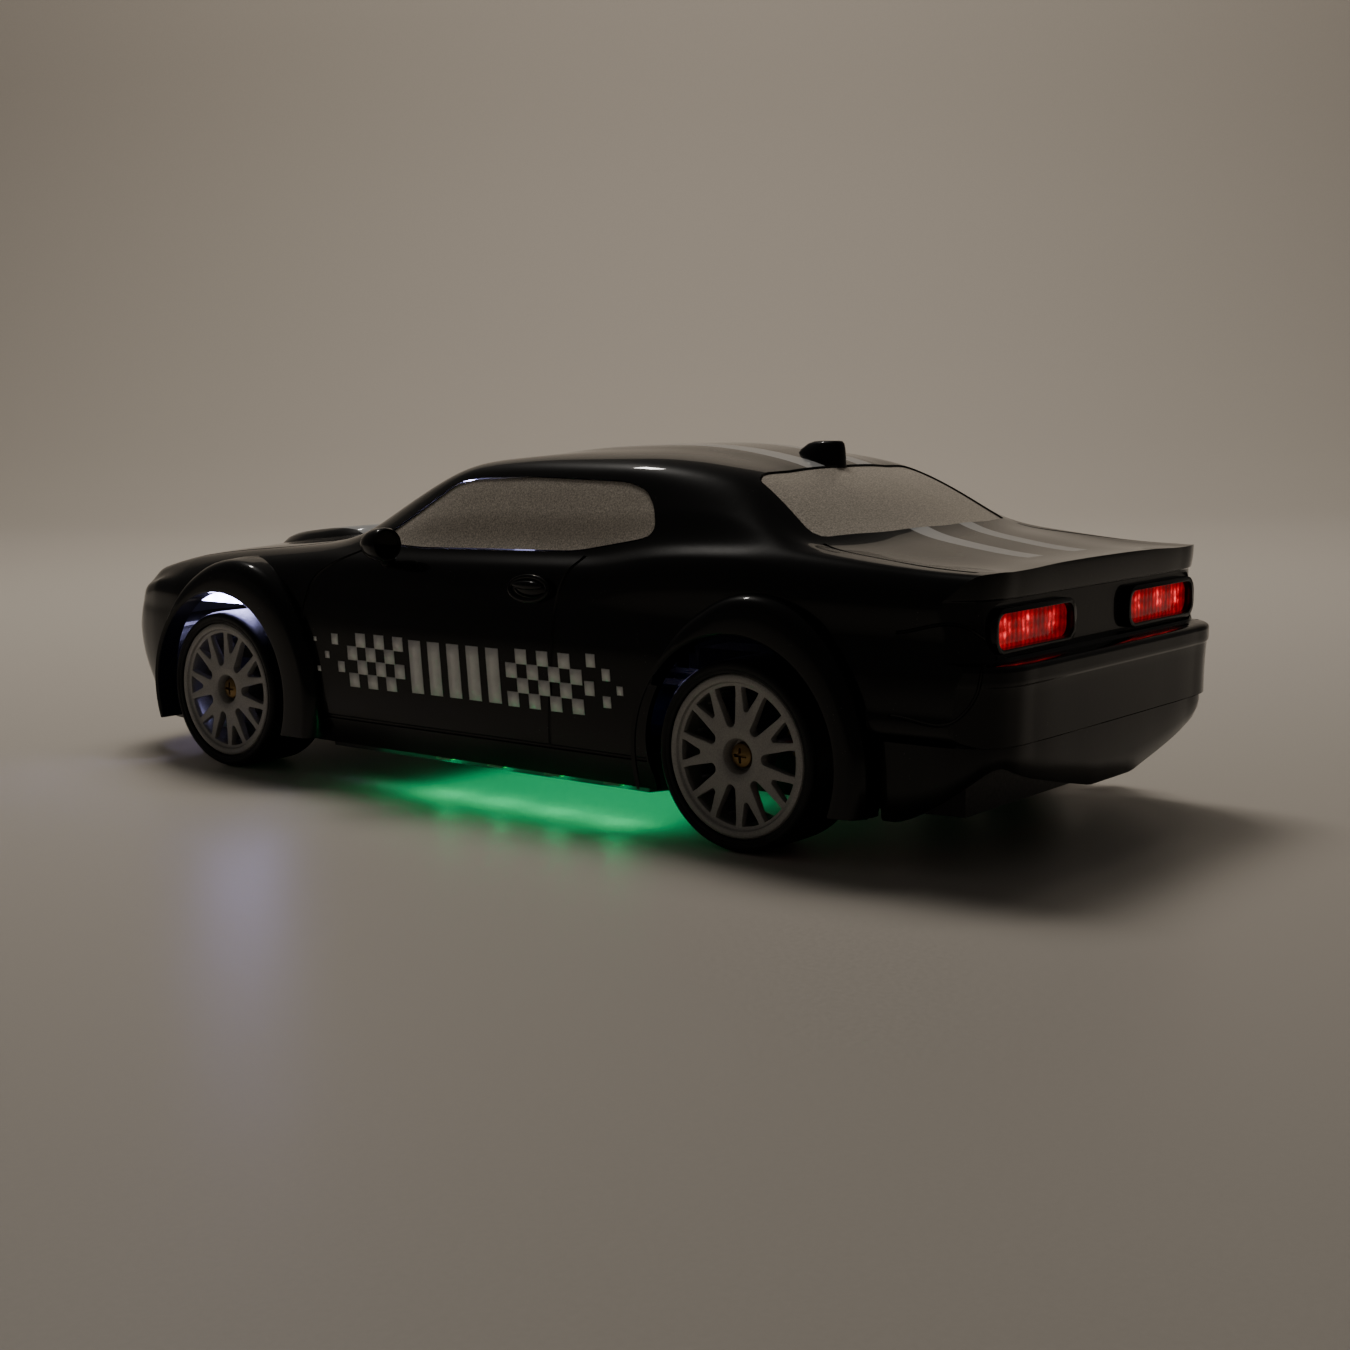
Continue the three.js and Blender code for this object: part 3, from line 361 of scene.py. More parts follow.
class Look:
    """A material with one Principled shader and short helpers for the nodes that drive it."""

    def __init__(self, name, **values):
        self.material = bpy.data.materials.new(name)
        self.material.use_nodes = True
        self.tree = self.material.node_tree
        self.shader = self.tree.nodes["Principled BSDF"]
        for key, value in values.items():
            self.set(key.replace("_", " "), value)

    def set(self, key, value):
        """A socket of the shader, from a node, a colour or a number."""
        socket = next(s for s in self.shader.inputs if s.name.lower() == key.lower())
        if isinstance(value, bpy.types.NodeSocket):
            self.tree.links.new(value, socket)
        elif isinstance(value, tuple):
            socket.default_value = (*value, 1.0)[:4]
        else:
            socket.default_value = value

    def node(self, kind, **settings):
        made = self.tree.nodes.new(kind)
        for key, value in settings.items():
            if key in made.inputs:
                made.inputs[key].default_value = value
            else:
                setattr(made, key, value)
        return made

    def link(self, source, node, key):
        self.tree.links.new(source, node.inputs[key])

    def place(self):
        return self.node("ShaderNodeTexCoord").outputs["Object"]

    def noise(self, scale, detail=3.0, roughness=0.55):
        made = self.node("ShaderNodeTexNoise", Scale=scale, Detail=detail, Roughness=roughness)
        self.link(self.place(), made, "Vector")
        return made.outputs["Fac"]

    def spots(self, scale):
        made = self.node("ShaderNodeTexVoronoi", Scale=scale)
        self.link(self.place(), made, "Vector")
        return made.outputs["Distance"]

    def span(self, value, low, high, to_low=0.0, to_high=1.0):
        made = self.node("ShaderNodeMapRange")
        for key, number in (("From Min", low), ("From Max", high), ("To Min", to_low), ("To Max", to_high)):
            made.inputs[key].default_value = number
        self.link(value, made, "Value")
        return made.outputs["Result"]

    def math(self, kind, a, b=0.0, clamp=False):
        made = self.node("ShaderNodeMath", operation=kind, use_clamp=clamp)
        for i, value in enumerate((a, b)):
            if isinstance(value, bpy.types.NodeSocket):
                self.tree.links.new(value, made.inputs[i])
            else:
                made.inputs[i].default_value = value
        return made.outputs[0]

    def mix(self, share, a, b):
        made = self.node("ShaderNodeMix", data_type="RGBA")
        for socket, value in ((made.inputs[0], share), (made.inputs[6], a), (made.inputs[7], b)):
            if isinstance(value, bpy.types.NodeSocket):
                self.tree.links.new(value, socket)
            else:
                socket.default_value = (*value, 1.0)[:4] if isinstance(value, tuple) else value
        return made.outputs[2]

    def tint(self, share, a, b):
        self.set("Base Color", self.mix(share, a, b))

    def rough(self, grain, low, high):
        """Roughness that wanders between two values with a noise."""
        self.set("Roughness", self.span(grain, 0.3, 0.7, low, high))

    def wave(self, value, pitch):
        """A sine along a coordinate, with its pitch in millimetres."""
        return self.math("SINE", self.math("MULTIPLY", value, 2 * math.pi / (pitch * MM)))

    def distance(self, a, b, a0, b0):
        """Distance in a plane from the point (a0, b0), given in millimetres."""
        da = self.math("SUBTRACT", a, a0 * MM)
        db = self.math("SUBTRACT", b, b0 * MM)
        return self.math("SQRT", self.math("ADD", self.math("POWER", da, 2.0), self.math("POWER", db, 2.0)))

    def facing(self):
        """The upward part of the surface normal."""
        made = self.node("ShaderNodeSeparateXYZ")
        self.link(self.node("ShaderNodeTexCoord").outputs["Normal"], made, "Vector")
        return made.outputs["Z"]

    def bump(self, height, strength, distance):
        made = self.node("ShaderNodeBump", Strength=strength, Distance=distance)
        self.link(height, made, "Height")
        self.tree.links.new(made.outputs["Normal"], self.shader.inputs["Normal"])

    def axes(self):
        made = self.node("ShaderNodeSeparateXYZ")
        self.link(self.place(), made, "Vector")
        return made.outputs


def dusty(look, base, roughness, dust=0.5):
    """A colour and roughness with faint handling marks and tiny dust specks."""
    marks = look.noise(38, 5, 0.62)
    speck = look.span(look.spots(900), 0.10, 0.16, 1, 0)
    sparse = look.span(look.noise(160, 2), 0.58, 0.70)
    dusts = look.math("MULTIPLY", look.math("MULTIPLY", speck, sparse), dust)
    look.tint(dusts, base, (0.11, 0.105, 0.10))
    rough = look.span(marks, 0.3, 0.8, roughness, roughness + 0.05)
    look.set("Roughness", look.math("ADD", rough, look.math("MULTIPLY", dusts, 0.4), clamp=True))


def gloss_black(name, striped=False):
    """Deep black moulding under a clear coat, with the pale stripes on the outside skin."""
    look = Look(name, Coat_Weight=1.0, Coat_Roughness=0.02, Coat_IOR=1.28, Specular_IOR_Level=0.08)
    base = (0.0022, 0.0022, 0.0024)
    if striped:
        base = look.mix(stripes(look), base, (0.36, 0.365, 0.37))
    dusty(look, base, 0.3, 0.35)
    look.bump(look.noise(420, 2), 0.03, 0.0004)
    return look.material


STRIPE_IN, STRIPE_OUT = 6.9, 13.9
STRIPE_LOW, STRIPE_END = 50.5, 133.5


def stripes(look):
    """Two long stripes over the bonnet, roof and boot: a band in |x| on faces that look up."""
    x, y, z = look.axes()
    size = look.math("ABSOLUTE", x)
    inner = look.math("GREATER_THAN", size, STRIPE_IN * MM)
    outer = look.math("LESS_THAN", size, STRIPE_OUT * MM)
    high = look.math("GREATER_THAN", z, STRIPE_LOW * MM)
    ahead = look.math("LESS_THAN", y, STRIPE_END * MM)
    up = look.math("GREATER_THAN", look.facing(), 0.45)
    band = look.math("MULTIPLY", inner, outer)
    for part in (high, ahead, up):
        band = look.math("MULTIPLY", band, part)
    return band


def satin_black():
    """Fine-grained black plastic."""
    look = Look("satin_black", IOR=1.46)
    tint = (0.017, 0.017, 0.018)
    grain = look.noise(1400, 2)
    look.tint(look.noise(55, 4), tint, tuple(1.7 * c for c in tint))
    look.rough(grain, 0.42, 0.58)
    look.bump(grain, 0.25, 0.00008)
    return look.material


def frosted():
    """Grey glazing with a fine sparkling grain."""
    look = Look("frosted_glazing", IOR=1.5, Metallic=0.35, Coat_Weight=0.35, Coat_Roughness=0.22)
    grain = look.noise(2600, 2, 0.7)
    cloud = look.noise(24, 3)
    fine = look.mix(look.span(grain, 0.35, 0.68), (0.34, 0.30, 0.25), (0.88, 0.80, 0.69))
    look.tint(look.span(cloud, 0.3, 0.8, 0, 0.35), fine, (0.34, 0.30, 0.25))
    look.rough(grain, 0.36, 0.5)
    look.bump(grain, 0.35, 0.00006)
    return look.material


def rim_grey():
    """Satin grey with fine flakes, and painted shade that darkens it down in the barrel."""
    look = Look("rim_grey", IOR=1.5, Metallic=0.25, Coat_Weight=0.15, Coat_Roughness=0.3)
    flake = look.noise(3200, 1)
    cloud = look.noise(70, 4)
    # Painted shade: the colour goes dark towards the inboard end of the barrel, deep inside the wheel.
    depth = look.span(look.math("ABSOLUTE", look.axes()["X"]), 46 * MM, 57.5 * MM, 0.25, 1)
    bright = look.mix(look.span(flake, 0.3, 0.7), (0.29, 0.28, 0.265), (0.40, 0.385, 0.365))
    worn = look.mix(look.span(cloud, 0.45, 0.75, 0, 0.25), bright, (0.23, 0.222, 0.21))
    look.tint(depth, (0.07, 0.07, 0.07), worn)
    look.rough(cloud, 0.36, 0.48)
    look.bump(flake, 0.12, 0.00005)
    return look.material


def rubber():
    """Dull rubber with a little dust."""
    look = Look("tyre_rubber", IOR=1.5, Specular_IOR_Level=0.22)
    cloud = look.noise(60, 5, 0.6)
    fine = look.noise(900, 2)
    dust = look.span(cloud, 0.5, 0.8, 0, 0.5)
    look.tint(dust, (0.0075, 0.0075, 0.008), (0.022, 0.021, 0.020))
    look.rough(fine, 0.38, 0.55)
    look.bump(look.math("ADD", look.math("MULTIPLY", cloud, 0.3), fine), 0.18, 0.00012)
    return look.material


def metal(name, colour):
    """Metal with fine turning streaks."""
    look = Look(name, Metallic=1.0, IOR=1.5)
    streak = look.node("ShaderNodeTexNoise", Scale=1.0, Detail=3.0)
    stretch = look.node("ShaderNodeMapping")
    stretch.inputs["Scale"].default_value = (250, 2600, 2600)
    look.link(look.place(), stretch, "Vector")
    look.link(stretch.outputs["Vector"], streak, "Vector")
    fac = streak.outputs["Fac"]
    look.tint(fac, tuple(0.8 * c for c in colour), colour)
    look.rough(fac, 0.3, 0.46)
    look.bump(fac, 0.08, 0.00004)
    return look.material


def nylon():
    """Pale gear plastic."""
    look = Look("nylon", IOR=1.5, Subsurface_Weight=0.1)
    cloud = look.noise(90, 3)
    look.tint(cloud, (0.70, 0.69, 0.63), (0.80, 0.79, 0.74))
    look.rough(cloud, 0.36, 0.5)
    look.bump(look.noise(1500, 2), 0.1, 0.00005)
    return look.material


def board():
    """Solder mask over crossing tracks."""
    look = Look("board_green", IOR=1.5)
    lines = []
    for axis in look.axes()[:2]:
        wave = look.math("FRACT", look.math("MULTIPLY", axis, 420.0))
        lines.append(look.math("LESS_THAN", wave, 0.28))
    tracks = look.math("MAXIMUM", *lines)
    mask = look.math("MULTIPLY", tracks, look.span(look.noise(120, 1), 0.48, 0.5))
    look.tint(mask, (0.012, 0.10, 0.04), (0.03, 0.20, 0.085))
    look.rough(look.noise(300, 2), 0.28, 0.4)
    look.bump(mask, 0.2, 0.00005)
    return look.material


def shrink_film():
    """Creased film round the cells."""
    look = Look("battery_wrap", IOR=1.5, Coat_Weight=0.4, Coat_Roughness=0.15)
    crease = look.noise(140, 4, 0.7)
    look.tint(crease, (0.02, 0.07, 0.28), (0.05, 0.13, 0.42))
    look.rough(crease, 0.22, 0.36)
    look.bump(crease, 0.25, 0.0004)
    return look.material


def lit(name, colour, strength, base):
    """A lamp surface that glows, a little unevenly."""
    look = Look(name, IOR=1.49, Coat_Weight=0.6, Coat_Roughness=0.06)
    uneven = look.noise(260, 2)
    look.tint(uneven, tuple(0.7 * c for c in base), base)
    look.set("Emission Color", look.mix(look.span(uneven, 0.3, 0.7), tuple(0.55 * c for c in colour), colour))
    look.set("Emission Strength", strength)
    look.rough(uneven, 0.14, 0.24)
    return look.material


HEADLAMP = (32, 42)  # distance out and height of the headlamps' middles
BULBS = ((40.5, 51.0, 5.5), (31.5, 51.6, 5.0), (20.5, 51.2, 4.0))  # red bulbs: distance out, height, reach
LED_Y = (-10, 8, 27, 46)


def clear_lens():
    """A round headlamp lens: rings round its middle, cut by fine upright flutes, with a faint glow."""
    look = Look("lamp_clear", IOR=1.49, Coat_Weight=1.0, Coat_Roughness=0.03)
    x, _, z = look.axes()
    far = look.distance(look.math("ABSOLUTE", x), z, *HEADLAMP)
    relief = look.math("ADD", look.wave(far, 1.3), look.math("MULTIPLY", look.wave(x, 0.9), 0.5))
    look.tint(look.span(relief, -1.2, 1.2), (0.10, 0.105, 0.115), (0.52, 0.54, 0.58))
    centre = look.span(far, 0.4 * MM, 2.6 * MM, 1, 0)
    look.set("Emission Color", look.mix(centre, (0.05, 0.055, 0.07), (0.75, 0.8, 1.0)))
    look.set("Emission Strength", 0.7)
    look.rough(look.noise(700, 2), 0.08, 0.16)
    look.bump(relief, 0.4, 0.0002)
    return look.material


def green_chips():
    """A strip that shines hard at its lamps and only faintly between them."""
    look = Look("underglow", IOR=1.49, Coat_Weight=0.5, Coat_Roughness=0.1)
    y = look.axes()["Y"]
    near = None
    for middle in LED_Y:
        far = look.math("ABSOLUTE", look.math("SUBTRACT", y, middle * MM))
        spot = look.span(far, 2.4 * MM, 3.2 * MM, 1.0, 0.16)
        near = spot if near is None else look.math("MAXIMUM", near, spot)
    near = look.math("MULTIPLY", near, look.math("LESS_THAN", look.facing(), -0.5))
    look.tint(look.noise(300, 2), (0.03, 0.30, 0.14), (0.05, 0.42, 0.20))
    look.set("Emission Color", look.mix(near, (0.0, 0.0, 0.0), (0.0, 1.0, 0.32)))
    look.set("Emission Strength", 26.0)
    look.rough(look.noise(500, 2), 0.2, 0.3)
    return look.material


def decal_white():
    """Printed sticker white."""
    look = Look("decal_white", IOR=1.5, Coat_Weight=0.7, Coat_Roughness=0.08)
    cloud = look.noise(300, 4, 0.65)
    look.tint(look.span(cloud, 0.35, 0.7), (0.84, 0.83, 0.81), (0.95, 0.94, 0.92))
    look.rough(cloud, 0.28, 0.4)
    return look.material


def red_lens():
    """A reflector pattern of ribs and cells that glows brightest round the bulbs."""
    look = Look("red_lens", IOR=1.49, Coat_Weight=0.4, Coat_Roughness=0.03, Specular_IOR_Level=0.25)
    x, _, z = look.axes()
    size = look.math("ABSOLUTE", x)
    glow = None
    for bulb_x, bulb_z, reach in BULBS:
        spot = look.span(look.distance(size, z, bulb_x, bulb_z), 0.4 * MM, reach * MM, 1.0, 0.0)
        glow = spot if glow is None else look.math("MAXIMUM", glow, spot)
    rib = look.span(look.wave(size, 1.9), -1, 1, 0.45, 1.0)
    cell = look.span(look.wave(z, 2.6), -1, 1, 0.6, 1.0)
    blotch = look.span(look.noise(420, 3, 0.7), 0.35, 0.66, 0.25, 1.0)
    power = look.math("MULTIPLY", look.math("MULTIPLY", rib, cell), blotch)
    power = look.math("MULTIPLY", power, look.math("ADD", look.math("MULTIPLY", glow, glow), 0.16))
    hot = look.span(power, 0.25, 0.75)
    look.tint(rib, (0.05, 0.0, 0.002), (0.16, 0.002, 0.006))
    colour = look.mix(hot, (0.40, 0.0, 0.006), (1.0, 0.07, 0.07))
    scaled = look.node("ShaderNodeMix", data_type="RGBA", blend_type="MULTIPLY")
    scaled.inputs[0].default_value = 1.0
    look.tree.links.new(colour, scaled.inputs[6])
    look.tree.links.new(look.span(power, 0.0, 0.7, 0.04, 1.0), scaled.inputs[7])
    look.set("Emission Color", scaled.outputs[2])
    look.set("Emission Strength", 3.2)
    look.set("Roughness", look.span(rib, 0, 1, 0.1, 0.2))
    look.bump(look.math("MULTIPLY", rib, cell), 0.5, 0.0003)
    return look.material


# One material for each slot of the record, and two more for the striped skin and the stickers.
LOOKS = {
    "body_gloss": gloss_black("body_gloss"),
    "striped": gloss_black("body_gloss_striped", True),
    "satin_black": satin_black(),
    "frosted_glazing": frosted(),
    "rim_grey": rim_grey(),
    "tyre_rubber": rubber(),
    "steel": metal("steel", (0.60, 0.60, 0.61)),
    # The brass is darkened far below clean brass: painted shade for the hub screws that sit deep in the hubs.
    "brass": metal("brass", (0.26, 0.17, 0.07)),
    "nylon": nylon(),
    "board_green": board(),
    "battery_wrap": shrink_film(),
    "arch_light": lit("arch_light", (0.52, 0.50, 1.0), 30.0, (0.8, 0.85, 0.95)),
    "underglow": green_chips(),
    "lamp_clear": clear_lens(),
    "red_lens": red_lens(),
    "decal": decal_white(),
}

# ---- The body surface ----

# Station, belt line x and z, roof rail (or bonnet shoulder) x and z, height halfway in, height in the middle.
SECTIONS = [
    (-150, 52, 49.6, 32, 50.2, 50.5, 50.6),
    (-136, 51, 51.2, 32, 52.6, 53.2, 53.4),
    (-122, 49, 53.8, 31, 55.4, 56.2, 56.5),
    (-95, 47.5, 57.4, 31, 59, 60, 60.2),
    (-69, 48, 59.5, 32, 61, 62, 62.3),
    (-50, 48.6, 60.9, 37, 63.4, 63.8, 63.9),
    (-44, 49.2, 61.1, 38, 66.2, 67.2, 67.6),
    (-28, 50, 61.5, 38, 74.2, 76, 76.4),
    (-12, 50, 61.7, 38, 80.6, 83.2, 83.8),
    (0, 50, 61.9, 38, 81.8, 84.8, 85.6),
    (15, 50, 62.2, 38, 82.1, 86.2, 87),
    (40, 50, 62.8, 38, 82.1, 86.8, 87.6),
    (60, 50, 66, 37.6, 81.3, 85.2, 86),
    (72, 50.2, 66.6, 37.4, 79.6, 82.4, 83),
    (86, 50.6, 66.8, 41.5, 72.4, 75, 75.6),
    (98, 50.8, 65.8, 44, 66.4, 67.6, 68),
    (105, 51.2, 65, 43, 65.6, 66.3, 66.5),
    (136, 53, 62.5, 43, 63, 63.3, 63.4),
    (150, 54, 62.2, 43, 63, 63.8, 64),
    (158, 54, 62.2, 43, 63, 63.9, 64.1),
]
# Half width and station along the plan outline, round the nose and round the tail.
NOSE_PLAN = [
    (0, -150), (20, -149), (35, -146.5), (44, -142.5), (50, -136), (54, -126), (56, -115), (56.85, -104),
    (57, -95), (57, -80), (57, -40), (57, 0), (57, 40), (57, 80), (57, 97), (56.7, 107), (56, 118),
    (55, 128), (54.4, 138), (54.2, 148), (54.2, 157),
]
TAIL_PLAN = [
    (72, 128), (62, 134), (55.2, 138.4), (53, 143.2), (50, 147.3), (45, 149.3), (38, 149.75), (20, 149.95),
    (0, 150),
]
# Height and how far the face stands back from the plan outline there.
NOSE_SET_BACK = [(10, 14), (20, 7.2), (28.8, 1.6), (35, 0), (38, 0.6), (50, 6), (70, 12)]
TAIL_SET_BACK = [
    (10, 1), (28, 1), (40.0, 0.5), (40.7, 0.1), (41.4, 0), (43.3, 0), (43.9, 0.15), (44.4, 0.7),
    (44.7, 1.6), (45.0, 4.4), (57.3, 5.6), (57.8, 5.0), (63, 4.4), (66, 4.6), (90, 4.6),
]
# Station and how far the upper body bows towards the nose in its middle.
BOW = [(-100, 0), (-50, 6.5), (-12, 3), (0, 0), (60, 0), (72, -2.5), (98, -7.2), (136, -2), (150, 0)]
BLEND = 4.5  # how far neighbouring stations run into each other
STEPS = (6, 13, 6, 7, 7, 6, 10, 10, 14, 14)  # samples between the control points of a section


def stations(spacing):
    """Station and share of the full width, evenly spaced along the plan outline."""
    points = np.array([(-20, -149)] + NOSE_PLAN, float)
    fine = flow(points, [60] * (len(points) - 1))[60:]
    run = np.concatenate([[0], np.cumsum(np.linalg.norm(np.diff(fine, axis=0), axis=1))])
    wanted = np.linspace(0, run[-1], int(run[-1] / spacing))
    x = np.interp(wanted, run, fine[:, 0])
    y = np.interp(wanted, run, fine[:, 1])
    return y, np.clip(x, 0.02, None) / SIDE_X


def place(s, x, z):
    """Puts section points at their station, with the nose set back and the upper body bowed."""
    nose = ramp(NOSE_SET_BACK, z)[..., 0] * np.clip((-112 - s) / 38, 0, 1)
    bow = ramp(BOW, s)[..., 0] * (1 - (x / 50) ** 2) * np.clip((z - 57) / 4, 0, 1)
    return np.stack([x, s + nose - bow, z], axis=-1)


def half_sections(s, share):
    """Control points of half sections, from the lower edge up and in to the middle."""
    reach = np.arange(-10, 10.1, 2.5)
    weight = np.exp(-((reach / BLEND) ** 2) / 2)
    rows = sum(w * ramp(SECTIONS, s + d) for w, d in zip(weight / weight.sum(), reach))
    belt_x, belt_z, rail_x, rail_z, mid_z, top_z = rows.T
    low = SILL_Z + (SEAM_Z - SILL_Z) * np.clip((s - 118.5) / 0.8, 0, 1)
    full = np.full_like(s, SIDE_X)
    pairs = [
        (full - 2.4, low),
        (full - 0.6, np.maximum(17.4, low + 1)),
        (full, np.full_like(s, 35.0)),
        (full - 0.2, np.full_like(s, 41.5)),
        (full - 0.9, np.minimum(49, belt_z - 4.5)),
        ((full + belt_x) / 2 + 0.6, belt_z - 3.2),
        (belt_x, belt_z),
        ((belt_x + rail_x) / 2 + 0.7, (belt_z + rail_z) / 2 + 0.4),
        (rail_x, rail_z),
        (rail_x / 2, mid_z),
        (0 * s, top_z),
        (-rail_x / 2, mid_z),
    ]
    x = np.stack([a for a, _ in pairs], 1) * share[:, None]
    z = np.stack([b for _, b in pairs], 1)
    return x, z


def surface_grid(spacing=1.0, thin=1):
    """The left half of the body as a grid of points, from nose to tail and from sill to middle."""
    s, share = stations(spacing)
    x, z = half_sections(s, share)
    steps = [max(2, n // thin) for n in STEPS] + [1]
    curve = flow(np.stack([x, z], -1), steps)[:, :-1]
    grid = place(s[:, None] + 0 * curve[..., 0], curve[..., 0], curve[..., 1])
    grid[:, -1, 0] = 0
    return grid


def grid_normals(grid):
    """Outward normals of the grid, level at the middle line and straight ahead at the nose."""
    along = np.gradient(grid, axis=0)
    up = np.gradient(grid, axis=1)
    normal = np.cross(along, up)
    normal[0] = (0, -1, 0)
    normal[:, -1, 0] = 0
    return normal / np.maximum(np.linalg.norm(normal, axis=-1), 1e-9)[..., None]


def body_solid(name, depth=0.0, spacing=1.0, thin=1, inner=False):
    """The body as a closed solid, moved inwards by depth; an inner one has no foot and a thick tail."""
    grid = surface_grid(spacing, thin)
    grid = grid - depth * grid_normals(grid)
    grid[..., 0] = np.maximum(grid[..., 0], 0)
    grid[:, :-1, 0] = np.maximum(grid[:, :-1, 0], 0.02)
    if inner:
        foot = grid[:, :1].copy()
        foot[..., 2] = -20
        grid = np.concatenate([foot, grid], axis=1)
    other = grid[:, -2::-1] * (-1, 1, 1)
    made = mirror_ring_object(name, np.concatenate([grid, other], axis=1))
    return boolean(made, [behind_tail(depth + (TAIL_WALL if inner else 0))])


def behind_tail(depth):
    """Everything behind the tail face, which bows out in plan and steps at the ledge and the lamp panel."""
    plan = flow(np.array(TAIL_PLAN, float), [10] * (len(TAIL_PLAN) - 1))
    plan = np.vstack([plan, plan[-2::-1] * (-1, 1)])
    heights = np.concatenate([
        [-30], np.arange(10, 40, 2.0), np.arange(40, 46, 0.12), np.arange(46, 57, 1.0),
        np.arange(57, 58.2, 0.15), np.arange(58.5, 66, 1.0), [100],
    ])
    back = ramp(TAIL_SET_BACK, heights)[:, 0]
    rings = []
    for z, set_back in zip(heights, back):
        y = plan[:, 1] - depth - set_back * np.clip((plan[:, 1] - 126) / 14, 0, 1)
        face = np.stack([plan[:, 0], y, np.full(len(plan), z)], 1)
        rings.append(np.vstack([face, [(-72, 200, z), (72, 200, z)]]))
    return rings_object("behind", rings)


# Window openings: (y, z) for the side, (x, y) for the screens.
SIDE_GLASS = [
    (-37.2, 62.7), (-20, 61.9), (33, 63), (54.6, 66.8), (56.2, 69.4), (53.8, 73.8), (49, 77.9), (42, 79.6),
    (13, 80.2), (-8, 79.4), (-14.8, 77.9),
]
WINDSCREEN = [
    (-35, -48.6), (-18, -53), (0, -54.6), (18, -53), (35, -48.6), (33.5, -15.5), (17, -12.6), (0, -11.6),
    (-17, -12.6), (-33.5, -15.5),
]
REAR_GLASS = [
    (-33, 73.4), (-17, 75), (0, 75.6), (17, 75), (33, 73.4), (41.5, 97), (22, 102.6), (0, 104.4),
    (-22, 102.6), (-41.5, 97),
]


def split(outline, step):
    """Splits the sides of an outline into pieces about a step long."""
    p = np.asarray(outline, float)
    out = []
    for a, b in zip(p, np.roll(p, -1, axis=0)):
        n = max(1, int(np.linalg.norm(b - a) / step))
        out += [a + (b - a) * k / n for k in range(n)]
    return np.array(out)


def opening(outline, gap=0.0):
    """A window outline with rounded corners, moved in by a gap and fine enough to follow the curved body."""
    return split(inset(rounded(split(outline, 9), 2), gap), 1.2)


def arch_cutters():
    """The round openings over the wheels, open at the foot."""
    out = []
    for yc in (-AXLE_Y, AXLE_Y):
        angles = np.radians(np.linspace(-18, 198, 120))
        ring = [(yc + ARCH_R * math.cos(a), HUB_Z + ARCH_R * math.sin(a)) for a in angles]
        out.append(prism("arch", [*ring, (ring[-1][0], -30), (ring[0][0], -30)], "x", -80, 80))
    return out


def flare(yc, shift, half_length, side):
    """A fat rounded lip round a wheel arch, between the opening and a longer ellipse."""
    height, base = 37.0, 20.0
    inner = ARCH_R - 0.5
    oy, oz = -shift, HUB_Z - base
    qc = (oy / half_length) ** 2 + (oz / height) ** 2 - 1
    rings = []
    for a in np.radians(np.linspace(-38, 218, 190)):
        dy, dz = math.cos(a), math.sin(a)
        qa = (dy / half_length) ** 2 + (dz / height) ** 2
        qb = 2 * (oy * dy / half_length**2 + oz * dz / height**2)
        outer = (-qb + math.sqrt(qb * qb - 4 * qa * qc)) / (2 * qa)
        soft = min(3.4, 0.5 * max(outer - inner, 2.4))
        section = [(inner, 44), (inner, 59.4), (inner + 0.3, 60.3), (inner + 0.9, 60.9),
        (inner + 1.6, FLARE_X)]
        for b in np.radians(np.linspace(90, 0, 9)):
            drop = 1.3 * soft * (1 - math.sin(b))
            section.append((outer - soft + soft * math.cos(b), FLARE_X - 0.25 - drop))
        section += [(outer + 0.25, 54.5), (outer + 0.4, 44)]
        rings.append([(side * x, yc + r * dy, HUB_Z + r * dz) for r, x in section])
    floor = prism("below_flare", [(-200, -200), (200, -200), (200, 11.4), (-200, 11.4)], "x", -90, 90)
    return boolean(rings_object("flare", rings), [floor])


def conform(tree, points, direction, lift):
    """Drops points onto the body along a direction and lifts them off along the surface normal."""
    direction = Vector(direction)
    out = []
    for p in points:
        start = Vector(p) * MM - direction * 0.2
        hit, normal, _, _ = tree.ray_cast(start, direction)
        if hit is None:
            raise RuntimeError(f"no body surface under {tuple(p)}")
        out.append(tuple((hit + normal * lift * MM) / MM))
    return out


GROOVE_R, FINE_GROOVE_R = 0.62, 0.42
# Seams seen from the side as (y, z): door front, door rear, sill, and the fine line of the rear quarter.
SIDE_SEAMS = [
    (GROOVE_R, [(-38.8, 61.0), (-46, 57.6), (-53.4, 52.4), (-55.8, 46), (-56.2, 36), (-55.6, 18)]),
    (GROOVE_R, [(37.6, 62.4), (35.4, 58.2), (33.2, 52), (32.3, 40), (31.1, 17.8)]),
    (GROOVE_R, [(-56, 17.6), (-20, 17.5), (20, 17.5), (60.5, 17.4)]),
    (FINE_GROOVE_R, [(125.5, 50.6), (141.2, 51.6), (143, 49.6), (141.6, 35.6), (139.6, 33.6), (124.6, 33.4)]),
]
# Seams seen from above as (x, y): boot and bonnet.
TOP_SEAMS = [
    [(42.6, 99.5), (44.6, 112), (46.4, 128), (47.6, 140.5)],
    [
        (43.2, -137.5), (44.6, -122), (44.6, -95), (43.6, -72), (40.5, -60.5), (33, -58.5), (17, -61.4),
        (0, -62.6),
    ],
]


def groove_tools(tree):
    """Thin tubes along every panel seam, which cut grooves into the shell."""
    tools = []

    def cut_along(points, direction, radius):
        path = flow(np.array(points, float), [14] * (len(points) - 1))
        tools.append(tube("seam", conform(tree, path, direction, 0.1), radius))

    for side in (1, -1):
        for radius, seam in SIDE_SEAMS:
            cut_along([(side * 60, y, z) for y, z in seam], (-side, 0, 0), radius)
        for seam in TOP_SEAMS:
            cut_along([(side * x, y, 0) for x, y in seam], (0, 0, -1), GROOVE_R)
    return tools


